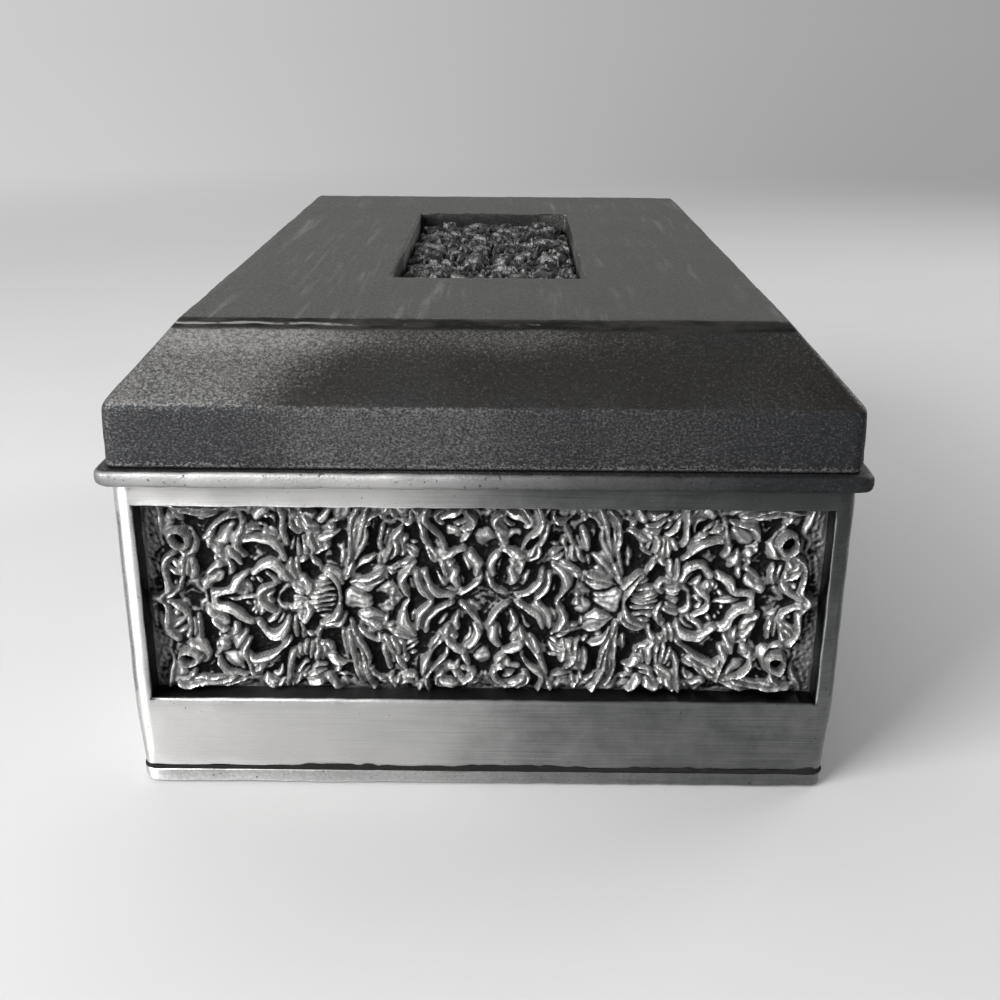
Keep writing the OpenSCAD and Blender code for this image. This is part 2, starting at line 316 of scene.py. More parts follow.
@dataclass(frozen=True)
class Turn:
    """One corner of a moulded section, with its place and how far it is rounded."""

    inset: float
    height: float
    round: float = 0.0
    plan: float = 0.0


def moulded(turns: Sequence[Turn], step: float, arc: int = 4) -> np.ndarray:
    """Rounds the corners of a section and divides its flats.

    Args:
        turns: The corners in order along the section.
        step: The most that two points lie apart on a flat.
        arc: How many steps a rounded corner has.

    Returns:
        Rows of inset, height and plan radius.
    """
    knots = [np.array((t.inset, t.height, t.plan)) for t in turns]
    rows = [knots[0]]
    most = 0.45
    for before, here, after, turn in zip(knots, knots[1:], knots[2:], turns[1:]):
        if turn.round <= 0:
            rows.append(here)
            continue
        back = before - here
        on = after - here
        reach = min(turn.round, most * np.hypot(*back[:2]), most * np.hypot(*on[:2]))
        start = here + back * reach / np.hypot(*back[:2])
        end = here + on * reach / np.hypot(*on[:2])
        for share in np.linspace(0, 1, arc + 1):
            rows.append((1 - share) ** 2 * start + 2 * share * (1 - share) * here + share**2 * end)
    rows.append(knots[-1])
    dense = [rows[0]]
    for a, b in zip(rows, rows[1:]):
        for share in span(0, 1, step / max(step * 0.1, float(np.hypot(*(b - a)[:2]))))[1:]:
            dense.append(a + share * (b - a))
    return np.array(dense)


class Waves:
    """Smooth seeded unevenness in space, as a sum of plane waves."""

    def __init__(self, seed: int, length: float, count: int = 24) -> None:
        """Draws the waves.

        Args:
            seed: The seed of the draw.
            length: The typical wavelength in millimetres.
            count: How many waves are summed.
        """
        draw = np.random.default_rng(seed)
        ways = draw.normal(size=(count, 3))
        ways /= np.linalg.norm(ways, axis=1, keepdims=True)
        self.ways = ways * 2 * math.pi / (length * draw.uniform(0.6, 1.8, size=(count, 1)))
        self.phases = draw.uniform(0, 2 * math.pi, size=count)
        self.gain = math.sqrt(2 / count)

    def at(self, points: np.ndarray) -> np.ndarray:
        """Reads the unevenness.

        Args:
            points: Any array whose last axis holds x, y and z in millimetres.

        Returns:
            Values that mostly lie between -1 and 1, one to a point.
        """
        return self.gain * np.cos(points @ self.ways.T + self.phases).sum(axis=-1)


def set_values(piece: bpy.types.Object, name: str, values: np.ndarray) -> None:
    """Stores one number to a point on a piece's mesh.

    Args:
        piece: The piece.
        name: The attribute's name.
        values: One number to a point.
    """
    layer = piece.data.attributes.new(name, "FLOAT", "POINT")
    layer.data.foreach_set("value", np.asarray(values, np.float32).ravel())


def points_of(piece: bpy.types.Object) -> np.ndarray:
    """Reads a piece's points.

    Args:
        piece: The piece.

    Returns:
        Points by 3 in millimetres.
    """
    flat = np.empty(3 * len(piece.data.vertices), np.float32)
    piece.data.vertices.foreach_get("co", flat)
    return flat.reshape(-1, 3).astype(float) / MM


def mark_edges(piece: bpy.types.Object, steps: int = 2) -> None:
    """Stores how far each point lies on an outer edge, for wear, and on an inner one, for grime.

    Args:
        piece: The piece. It gains the attributes edge and nook.
        steps: How many steps the marks run out over the mesh.
    """
    full_bend = math.radians(35)
    fade = 0.9
    work = bmesh.new()
    work.from_mesh(piece.data)
    size = len(work.verts)
    edge = np.zeros(size)
    nook = np.zeros(size)
    ends = np.array([(e.verts[0].index, e.verts[1].index) for e in work.edges])
    for line in work.edges:
        if len(line.link_faces) != 2:
            continue
        bend = line.calc_face_angle_signed(0.0) / full_bend
        for point in line.verts:
            edge[point.index] = max(edge[point.index], bend)
            nook[point.index] = max(nook[point.index], -bend)
    work.free()
    degree = np.bincount(ends.ravel(), minlength=size).clip(1)
    for marks in (edge, nook):
        np.clip(marks, 0, 1, out=marks)
        for _ in range(steps):
            total = np.bincount(ends[:, 0], marks[ends[:, 1]], size)
            total += np.bincount(ends[:, 1], marks[ends[:, 0]], size)
            marks[:] = np.maximum(marks * fade, total / degree)
    set_values(piece, "edge", edge)
    set_values(piece, "nook", nook)


# Slow marks on the metal: their seed, their wavelength and the height at which they are read
SHADE_AND_AGE_MARKS = (1503, 34.0, 20.0)
BEVEL_MARKS = (1243, 30.0, 47.0)
CROWN_MARKS = (1395, 40.0, 90.0)
BAND_MARKS = (1208, 26.0, 20.0)


def drift(points: np.ndarray, seed: int, length: float, level: float) -> np.ndarray:
    """Reads slow unevenness that is the same all the way up.

    Args:
        points: Points by 3 in millimetres.
        seed: The seed of the waves.
        length: Their typical length.
        level: The height at which they are read.

    Returns:
        Values mostly from -1 to 1.
    """
    return Waves(seed, length).at(points * (1, 1, 0) + (0, 0, level))


def shade_and_age_at(points: np.ndarray) -> np.ndarray:
    """Returns how dark the metal is painted, from 0 to 1: painted shade that grows toward the right, with slow
    patina marks.
    """
    room_wide = 80
    # painted shade: darker toward the right, away from the light, with slow random patina marks
    return (0.5 + points[:, 0] / room_wide + 0.14 * drift(points, *SHADE_AND_AGE_MARKS)).clip(0, 1)


def mark_shade_and_age(piece: bpy.types.Object) -> None:
    """Stores how dark the metal is painted, as painted shade and patina, less so near the foot.

    Args:
        piece: The piece. It gains the attribute aged_and_shaded.
    """
    points = points_of(piece)
    body_high = 35
    foot_share = 0.72
    rising = foot_share + (1 - foot_share) * points[:, 2] / body_high
    set_values(piece, "aged_and_shaded", shade_and_age_at(points) * rising)


def dent(piece: bpy.types.Object, waves: Waves, depth: float, mark: str | None = None) -> None:
    """Makes a piece's skin slightly uneven, always inward.

    Args:
        piece: The piece.
        waves: The unevenness.
        depth: The most that a point sinks, in millimetres.
        mark: The stored number that limits the dents to where it is high, if any.
    """
    mesh = piece.data
    points = points_of(piece)
    normals = np.empty(3 * len(mesh.vertices), np.float32)
    mesh.vertices.foreach_get("normal", normals)
    sink = depth * 0.5 * (1 + waves.at(points).clip(-1, 1))
    if mark is not None:
        share = np.empty(len(mesh.vertices), np.float32)
        mesh.attributes[mark].data.foreach_get("value", share)
        sink = share * (2 * sink - depth).clip(0)
    moved = points - normals.reshape(-1, 3) * sink[:, None]
    mesh.vertices.foreach_set("co", (moved * MM).ravel())
    mesh.update()


def adopt(piece: bpy.types.Object, body: Body, finish: "Finish", slot: str, *nodes: str) -> None:
    """Dresses a piece, puts it on its body and lets it stand for its nodes.

    Args:
        piece: The piece.
        body: The body that it rides on.
        finish: Its finish.
        slot: The material slot, not used.
        *nodes: The CAD nodes that it stands for.
    """
    piece.data.materials.clear()
    piece.data.materials.append(finish.material())
    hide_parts(*nodes)
    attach(piece, body.value)
    log.info("%s: %d points, stands for %s", piece.name, len(piece.data.vertices), ", ".join(nodes))


class Recipe:
    """A material's node tree, built up a node at a time."""

    def __init__(self, name: str, world: bpy.types.World | None = None) -> None:
        """Starts a material with its shader, or the nodes of a world.

        Args:
            name: The material's name.
            world: The world, where it isn't a material.
        """
        self.material = world or bpy.data.materials.new(name)
        self.material.use_nodes = True
        self.tree = self.material.node_tree
        self.shader = self.tree.nodes.get("Principled BSDF")
        coordinates = self.node("ShaderNodeTexCoord").outputs
        self.place = coordinates["Object"]
        self.around = coordinates["Generated"]

    def node(self, kind: str, **settings: object) -> bpy.types.Node:
        """Adds a node.

        Args:
            kind: The node's type.
            **settings: Properties to set on it.

        Returns:
            The node.
        """
        made = self.tree.nodes.new(kind)
        for key, value in settings.items():
            setattr(made, key, value)
        return made

    def feed(self, socket: Socket, value: object) -> None:
        """Links a socket, or sets it where the value is a plain one.

        Args:
            socket: The input.
            value: A number, a colour, a vector or an output.
        """
        if isinstance(value, bpy.types.NodeSocket):
            self.tree.links.new(value, socket)
        else:
            socket.default_value = value

    def fill(self, node: bpy.types.Node, **values: object) -> bpy.types.Node:
        """Feeds a node.

        Args:
            node: The node.
            **values: What goes into its inputs, named with _ for each space.

        Returns:
            The node.
        """
        for name, value in values.items():
            self.feed(node.inputs[name.replace("_", " ")], value)
        return node

    def noise(
        self, size: float, detail: float = 3.0, rough: float = 0.55, stretch: Triple = (1, 1, 1)
    ) -> Socket:
        """Adds a noise texture.

        Args:
            size: The size of its spots in millimetres.
            detail: How many finer layers it has.
            rough: How strong the finer layers are.
            stretch: How much quicker it changes along x, y and z.

        Returns:
            Its value, from 0 to 1 about 0.5.
        """
        mapping = self.fill(self.node("ShaderNodeMapping"), Vector=self.place, Scale=stretch)
        texture = self.fill(self.node("ShaderNodeTexNoise"), Vector=mapping.outputs["Vector"])
        self.fill(texture, Scale=1 / (size * MM), Detail=detail, Roughness=rough)
        return texture.outputs["Fac"]

    def cells(self, size: float) -> Socket:
        """Adds a cell texture.

        Args:
            size: The size of its cells in millimetres.

        Returns:
            The distance to the nearest cell's middle, from 0 to about 1.
        """
        texture = self.node("ShaderNodeTexVoronoi")
        return self.fill(texture, Vector=self.place, Scale=1 / (size * MM)).outputs["Distance"]

    def stored(self, name: str) -> Socket:
        """Returns a number that the mesh stores at its points."""
        return self.node("ShaderNodeAttribute", attribute_name=name).outputs["Fac"]

    def sum(self, operation: str, a: object, b: object = 0.0, clamp: bool = False) -> Socket:
        """Adds a sum of two numbers.

        Args:
            operation: The Math node's operation.
            a: The first number or socket.
            b: The second.
            clamp: Whether the result is kept from 0 to 1.

        Returns:
            The result.
        """
        made = self.node("ShaderNodeMath", operation=operation, use_clamp=clamp)
        self.feed(made.inputs[0], a)
        self.feed(made.inputs[1], b)
        return made.outputs[0]

    def plus(self, a: object, b: object, clamp: bool = False) -> Socket:
        """Returns a plus b."""
        return self.sum("ADD", a, b, clamp)

    def less(self, a: object, b: object) -> Socket:
        """Returns a less b."""
        return self.sum("SUBTRACT", a, b)

    def times(self, a: object, b: object) -> Socket:
        """Returns a times b."""
        return self.sum("MULTIPLY", a, b)

    def most(self, a: object, b: object) -> Socket:
        """Returns the larger of a and b."""
        return self.sum("MAXIMUM", a, b)

    def window(
        self, value: Socket, low: float, high: float, out_low: float = 0.0, out_high: float = 1.0
    ) -> Socket:
        """Maps a range of numbers smoothly onto another.

        Args:
            value: The number.
            low: Where the range starts.
            high: Where it ends.
            out_low: What the start becomes.
            out_high: What the end becomes.

        Returns:
            The mapped number, held at the ends.
        """
        made = self.node("ShaderNodeMapRange", interpolation_type="SMOOTHSTEP")
        for place, number in enumerate((value, low, high, out_low, out_high)):
            self.feed(made.inputs[place], number)
        return made.outputs[0]

    def mix(self, share: object, a: object, b: object) -> Socket:
        """Mixes two colours.

        Args:
            share: How much of the second there is.
            a: The first colour.
            b: The second colour.

        Returns:
            The mixed colour.
        """
        made = self.node("ShaderNodeMix", data_type="RGBA")
        self.feed(made.inputs[0], share)
        self.feed(made.inputs[6], a)
        self.feed(made.inputs[7], b)
        return made.outputs[2]

    def bump(self, height: Socket, depth: float, under: Socket | None = None) -> Socket:
        """Adds surface relief.

        Args:
            height: The height, from 0 to 1.
            depth: What 1 stands for, in millimetres.
            under: The normal of a coarser relief below this one.

        Returns:
            The normal.
        """
        made = self.node("ShaderNodeBump")
        self.fill(made, Strength=1.0, Distance=depth * MM, Height=height)
        if under is not None:
            self.fill(made, Normal=under)
        return made.outputs["Normal"]

    def finish(
        self, color: object, rough: object, metal: object, normal: Socket | None = None
    ) -> bpy.types.Material:
        """Wires the shader.

        Args:
            color: The base colour.
            rough: The roughness.
            metal: The share of bare metal.
            normal: The normal, where there is relief.

        Returns:
            The material.
        """
        self.fill(self.shader, Base_Color=color, Roughness=rough, Metallic=metal)
        if normal is not None:
            self.fill(self.shader, Normal=normal)
        return self.material


def tone(value: float, warm: float = 0.0) -> Color:
    """Makes a grey.

    Args:
        value: Its linear lightness.
        warm: How much it leans to red, or to blue where negative.

    Returns:
        The colour with full alpha.
    """
    return (value * (1 + warm), value, value * (1 - warm), 1.0)


@dataclass(frozen=True)
class Finish:
    """A surface finish."""

    name: str

    def material(self) -> bpy.types.Material:
        """Returns the finish's material, made once."""
        made = bpy.data.materials.get(self.name)
        return made if made is not None else self.make()

    def make(self) -> bpy.types.Material:
        """Makes the material, which each finish does in its own way."""
        raise NotImplementedError


@dataclass(frozen=True)
class BrushedMetal(Finish):
    """Satin cast metal, brushed along the walls and worn by handling, with painted shade on the right."""

    metal: float = 0.57
    stain_and_shade: float = 0.10
    roughness: float = 0.4
    stained: float = 0.3
    patina_and_shade: Color = (0.034, 0.044, 0.041, 1.0)
    scuffed: Color = (0.13, 0.15, 0.145, 1.0)

    def make(self) -> bpy.types.Material:
        """Makes the material.

        Returns:
            The material.
        """
        r = Recipe(self.name)
        lines = r.noise(0.14, 3.0, 0.7, (0.012, 0.012, 1.0))
        broad = r.noise(11.0, 4.0, 0.6, (0.5, 0.5, 1.0))
        fine = r.noise(0.35, 3.0, 0.65)
        nook = r.stored("nook")
        edge = r.stored("edge")
        near_edge = r.window(r.most(edge, nook), 0.02, 0.3)
        pits = r.times(r.window(r.noise(0.45, 2.0, 0.5), 0.7, 0.76), near_edge)
        cloud = r.window(r.plus(broad, r.times(r.less(lines, 0.5), 0.9)), 0.35, 0.75)
        bare = tone(self.metal, 0.01)
        clouded = tone(self.metal * 0.55, -0.01)
        base = r.mix(r.times(cloud, self.stained), bare, clouded)
        worn = r.mix(r.window(r.times(edge, r.plus(fine, 0.35)), 0.25, 0.7), base, tone(0.78))
        grime = r.most(r.window(r.plus(nook, r.times(fine, 0.6)), 0.75, 1.1), pits)
        grimy = r.mix(r.times(grime, 0.85), worn, tone(self.stain_and_shade * 0.2))
        toned = self.aged_and_shaded(r, grimy, lines)
        # painted shade and patina: the window reveals are painted dark
        inner = r.window(r.plus(r.stored("sunk"), r.times(fine, 0.3)), 0.35, 0.75)
        color = r.mix(inner, toned, tone(self.stain_and_shade * 0.28))
        dull = r.window(cloud, 0, 1, self.roughness, self.roughness + 0.12)
        rough = r.plus(dull, r.window(fine, 0, 1, -0.05, 0.08))
        relief = r.bump(broad, 0.05)
        relief = r.bump(lines, 0.008, relief)
        relief = r.bump(r.less(1.0, pits), 0.03, relief)
        r.fill(r.shader, Anisotropic=0.8, Anisotropic_Rotation=0.25)
        return r.finish(color, rough, 1.0, relief)

    def aged_and_shaded(self, r: Recipe, clean: Socket, lines: Socket) -> Socket:
        """Lays scuffed patina and painted shade over the metal where the stored mark is high.

        Args:
            r: The material in the making.
            clean: The metal's colour without it.
            lines: The brushing.

        Returns:
            The colour.
        """
        ragged = r.plus(r.times(lines, 0.15), r.times(r.noise(4.0, 4.0, 0.65), 0.3))
        # painted shade: the stored mark darkens the walls toward the right and up from the foot, with real
        # patina scuffs mixed in
        share = r.times(r.window(r.plus(r.stored("aged_and_shaded"), ragged), 0.4, 1.27), 0.93)
        scuffs = r.window(r.noise(0.8, 4.0, 0.75), 0.6, 0.78)
        return r.mix(share, clean, r.mix(scuffs, self.patina_and_shade, self.scuffed))


@dataclass(frozen=True)
class DarkCast(Finish):
    """Dark oxidised cast metal with a fine grain, rubbed bright on its edges, with painted light and shade."""

    body: float = 0.074
    rub: float = 0.25
    grain: float = 0.2
    # where the brow's painted highlight line lies, as a share of the way up the bevel
    glint_at: float = 0.93

    def make(self) -> bpy.types.Material:
        """Makes the material.

        Returns:
            The material.
        """
        r = Recipe(self.name)
        grain = r.noise(self.grain, 3.0, 0.7)
        specks = r.noise(0.2, 2.0, 0.7, (0.75, 0.75, 1.0))
        broad = r.noise(14.0, 3.0, 0.5)
        speckle = r.times(r.less(specks, 0.5), 1.2)
        wear = self.wear(r, speckle)
        brow_shaded, glint = self.brow(r, self.spotted(r, specks, speckle, broad), speckle)
        # the brow's painted highlight line is laid on in the same bright tone as the bare metal
        worn = r.mix(r.most(wear, r.times(glint, 0.42)), brow_shaded, tone(self.rub * 2.1, 0.01))
        grime = r.window(r.plus(r.stored("nook"), r.times(grain, 0.4)), 0.55, 0.95)
        color = r.mix(grime, worn, tone(0.012))
        rough = r.less(r.window(specks, 0.35, 0.65, 0.68, 0.46), r.times(wear, 0.08))
        metal = r.window(wear, 0, 1, 0.84, 1.0)
        r.fill(r.shader, Specular_IOR_Level=0.3)
        relief = r.bump(broad, 0.05)
        relief = r.bump(specks, 0.035, relief)
        relief = r.bump(grain, 0.02, relief)
        return r.finish(color, rough, metal, relief)

    def wear(self, r: Recipe, speckle: Socket) -> Socket:
        """Finds the bare metal, with painted light: rubbed edges, the moulding painted brighter on the left,
        the band's hem with a painted highlight, and streaks on top.

        Args:
            r: The material in the making.
            speckle: The cast grain about 0.

        Returns:
            How bare the metal is, from 0 to 1.
        """
        rubs = r.noise(1.1, 4.0, 0.7, (0.35, 0.35, 1.0))
        streaks = r.noise(2.2, 4.0, 0.6, (1.0, 0.07, 1.0))
        pits = r.window(r.noise(0.5, 2.0, 0.5), 0.64, 0.7, 1.0, 0.25)
        # the moulding's bare metal is partly painted light, brighter toward the left
        rubbed = r.times(r.stored("rubbed"), pits)
        # the hem is a worn line with a painted highlight along the band's foot
        hem_wear_and_highlight = r.window(r.plus(r.stored("hem_wear_and_highlight"), speckle), 0.8, 1.15)
        edges = r.window(r.times(r.stored("edge"), r.plus(rubs, 0.1)), 0.42, 0.8)
        streaked = r.times(r.times(r.window(streaks, 0.58, 0.8), r.stored("flat")), 0.2)
        return r.most(r.most(r.most(edges, rubbed), r.times(hem_wear_and_highlight, 0.3)), streaked)

    def spotted(self, r: Recipe, specks: Socket, speckle: Socket, broad: Socket) -> Socket:
        """Colours bevels, band and top: mottled, with silver speckle and scratches, and painted shade
        that keeps the bevels and band darker than the top.

        Args:
            r: The material in the making.
            specks: The cast grain.
            speckle: The same about 0.
            broad: Slow cloudiness.

        Returns:
            The colour.
        """
        flat = r.stored("flat")
        on_bevel = r.window(r.stored("rise"), 0.0, 0.03)
        patch = r.window(r.plus(broad, speckle), 0.42, 0.72)
        # painted shade: bevels and band take darker tones than the top, for faces turned from the light, with
        # real mottling
        warm = (self.body * 0.32, self.body * 0.28, self.body * 0.23, 1.0)
        cool = (self.body * 0.4, self.body * 0.42, self.body * 0.46, 1.0)
        shade = r.mix(patch, tone(self.body * 0.42), r.mix(on_bevel, cool, warm))
        scratches = r.noise(0.9, 3.0, 0.7, (1.0, 0.04, 1.0))
        scored = r.times(r.window(scratches, 0.5, 0.8, 0.0, 0.8), r.window(broad, 0.42, 0.6))
        plain = (self.body * 0.88, self.body * 0.91, self.body * 0.82, 1.0)
        crown = r.mix(scored, plain, tone(self.body * 1.9, 0.06))
        ground = r.mix(flat, r.mix(on_bevel, cool, shade), crown)
        silvered = r.window(r.plus(r.times(specks, 1.6), r.stored("sloped")), 0.84, 1.9)
        speckled = r.mix(silvered, ground, tone(self.rub, 0.02))
        mottle = r.window(r.noise(0.26, 3.0, 0.75, (0.5, 0.5, 1.0)), 0.42, 0.62, 0.0, 0.5)
        mottling = r.times(mottle, r.window(flat, 0, 1, 1.0, 0.22))
        return r.mix(mottling, speckled, tone(self.body * 0.2, 0.02))

    def brow(self, r: Recipe, color: Socket, speckle: Socket) -> tuple[Socket, Socket]:
        """Paints shade on the brow over the bevels, and a painted highlight along a broken line in it.

        Args:
            r: The material in the making.
            color: The colour without it.
            speckle: The cast grain about 0.

        Returns:
            The colour, and the share of painted highlight at each place.
        """
        drawn = r.noise(1.6, 3.0, 0.7, (0.16, 0.16, 1.0))
        rise = r.stored("rise")
        height = r.plus(rise, r.window(drawn, 0.3, 0.7, -0.014, 0.014))
        # painted shade: a dark band under the top's edge, where a steeper facet would turn from the light
        brow = r.times(r.window(height, 0.82, 0.9), r.window(rise, 0.985, 1.0, 1.0, 0.0))
        off_line = r.sum("ABSOLUTE", r.less(height, self.glint_at))
        # painted highlight: a thin broken bright line where a small ledge would catch the light
        line = r.window(off_line, 0.002, 0.018, 1.0, 0.0)
        breaks = r.plus(r.stored("sloped"), r.noise(0.7, 3.0, 0.7, (0.4, 0.4, 1.0)))
        brow_shade_tone = r.mix(r.window(drawn, 0.4, 0.65), tone(0.01, 0.05), tone(0.035, 0.04))
        brow_shaded = r.mix(r.window(r.plus(brow, speckle), 0.3, 0.9), color, brow_shade_tone)
        return brow_shaded, r.times(line, r.window(breaks, 0.86, 1.14))


@dataclass(frozen=True)
class PatinatedRelief(Finish):
    """Cast ornament, black in its hollows and burnished on its crests."""

    hollow: float = 0.012
    slope: float = 0.13
    crest: float = 0.72
    dull: float = 0.32

    def make(self) -> bpy.types.Material:
        """Makes the material.

        Returns:
            The material.
        """
        r = Recipe(self.name)
        specks = r.noise(0.26, 2.0, 0.7)
        spots = r.noise(1.3, 3.0, 0.6)
        high = r.stored("high")
        crest = r.stored("crest")
        hollow = r.stored("hollow")
        jitter = r.times(r.less(specks, 0.5), 0.9)
        lift = r.times(crest, r.plus(r.times(high, 0.7), 0.3))
        rubbed = r.window(r.plus(lift, jitter), 0.14, 0.58)
        sunk = r.window(r.plus(hollow, r.times(jitter, 0.5)), 0.25, 0.68)
        slope = r.mix(spots, tone(self.slope * 0.7, 0.02), tone(self.slope * 1.4, 0.0))
        dark = r.mix(sunk, slope, tone(self.hollow))
        grained = r.window(specks, 0.44, 0.62, 0.0, 0.62)
        silver = r.mix(grained, tone(self.crest, 0.01), tone(self.slope * 0.6))
        color = r.mix(rubbed, dark, silver)
        rough = r.window(rubbed, 0, 1, self.dull + 0.14, self.dull)
        metal = r.window(sunk, 0, 1, 1.0, 0.55)
        r.fill(r.shader, Specular_IOR_Level=0.15)
        relief = r.bump(r.cells(0.5), 0.03)
        relief = r.bump(specks, 0.07, relief)
        return r.finish(color, rough, metal, relief)


@dataclass(frozen=True)
class BlackFiller(Finish):
    """Dull black filler, squeezed out of the joint."""

    def make(self) -> bpy.types.Material:
        """Makes the material.

        Returns:
            The material.
        """
        r = Recipe(self.name)
        lumps = r.noise(0.6, 4.0, 0.6)
        r.fill(r.shader, Specular_IOR_Level=0.2)
        color = r.mix(lumps, tone(0.003), tone(0.014, 0.05))
        return r.finish(color, r.window(lumps, 0, 1, 0.8, 0.95), 0.0, r.bump(lumps, 0.08))


@dataclass(frozen=True)
class Velvet(Finish):
    """Short cotton velvet with a brushed nap."""

    color: Triple = (0.13, 0.01, 0.018)
    sheen: Color = (0.75, 0.25, 0.32, 1.0)

    def make(self) -> bpy.types.Material:
        """Makes the material.

        Returns:
            The material.
        """
        r = Recipe(self.name)
        nap = r.noise(9.0, 4.0, 0.65, (1.0, 0.6, 1.0))
        brushed = r.noise(2.4, 3.0, 0.6, (1.0, 0.3, 1.0))
        pile = r.noise(0.45, 3.0, 0.8)
        deep = (*(0.35 * c for c in self.color), 1.0)
        lit = (*(1.5 * c for c in self.color), 1.0)
        shade = r.plus(r.window(nap, 0.35, 0.65, 0.0, 0.55), r.window(brushed, 0.35, 0.65, 0.0, 0.25))
        shade = r.plus(shade, r.window(pile, 0.35, 0.65, -0.1, 0.2), True)
        r.fill(r.shader, Sheen_Weight=0.2, Sheen_Roughness=0.3, Sheen_Tint=self.sheen)
        r.fill(r.shader, Specular_IOR_Level=0.15)
        return r.finish(r.mix(shade, deep, lit), 0.95, 0.0, r.bump(pile, 0.14, r.bump(nap, 0.25)))


@dataclass(frozen=True)
class Felt(Finish):
    """Pressed wool felt."""

    color: Triple = (0.018, 0.045, 0.026)

    def make(self) -> bpy.types.Material:
        """Makes the material.

        Returns:
            The material.
        """
        r = Recipe(self.name)
        fibres = r.noise(0.35, 5.0, 0.75, (1.0, 0.35, 1.0))
        mottle = r.noise(3.0, 3.0, 0.6)
        deep = (*(0.6 * c for c in self.color), 1.0)
        lit = (*(1.6 * c for c in self.color), 1.0)
        shade = r.plus(r.times(fibres, 0.6), r.times(mottle, 0.4))
        r.fill(r.shader, Sheen_Weight=0.4, Sheen_Roughness=0.6)
        return r.finish(r.mix(shade, deep, lit), 0.95, 0.0, r.bump(fibres, 0.1))


class Profile(Enum):
    """How a strand of ornament is modelled across its width."""

    ROUND = "one smooth swell"
    CREST = "two slopes that meet in a narrow ridge"
    SLAB = "a flat top with rounded edges"
    RIMMED = "a hollow leaf between two raised rims"
    STRANDED = "fine ridges side by side"
    HOLLOW = "a hole with steep sides"

    def shape(self, across: np.ndarray, ridges: int) -> np.ndarray:
        """Reads the section.

        Args:
            across: Places from one edge, -1, to the other, 1.
            ridges: How many fine ridges a stranded section has.

        Returns:
            The height there, from 0 at the edges to 1.
        """
        x = np.abs(across).clip(0, 1)
        if self is Profile.ROUND:
            return (1 - x**2) ** 0.8
        if self is Profile.CREST:
            return 0.75 * (1 - x) + 0.25 * (1 - x**2)
        if self is Profile.RIMMED:
            rim_at, rim_wide = 0.72, 0.17
            return (1 - x**8) * (0.5 + 0.5 * np.exp(-(((x - rim_at) / rim_wide) ** 2)))
        if self is Profile.STRANDED:
            return (1 - x**4) * (0.72 + 0.28 * np.cos(math.pi * ridges * across))
        return 1 - x**6


# Each strand has finer folds beside it: their pitch, how fast they fade and how far they reach, in
# millimetres, and their height as a share of the strand's
FOLD_WIDTH = 0.86
FOLD_FADE = 0.9
FOLD_REACH = 1.3
FOLD_SHARE = 0.42

# A gutter parts it from what lies under it: its depth as a share and its width in millimetres
GUTTER_DEPTH = 0.62
GUTTER_WIDTH = 0.2

# A round strand dips along its middle where it is wide: the half width at which the dip starts and
# what it takes to reach its full depth, in millimetres, that depth and its width as shares
DIP_START = 0.36
DIP_GROWTH = 0.2
DIP_DEPTH = 0.3
DIP_WIDTH = 0.22


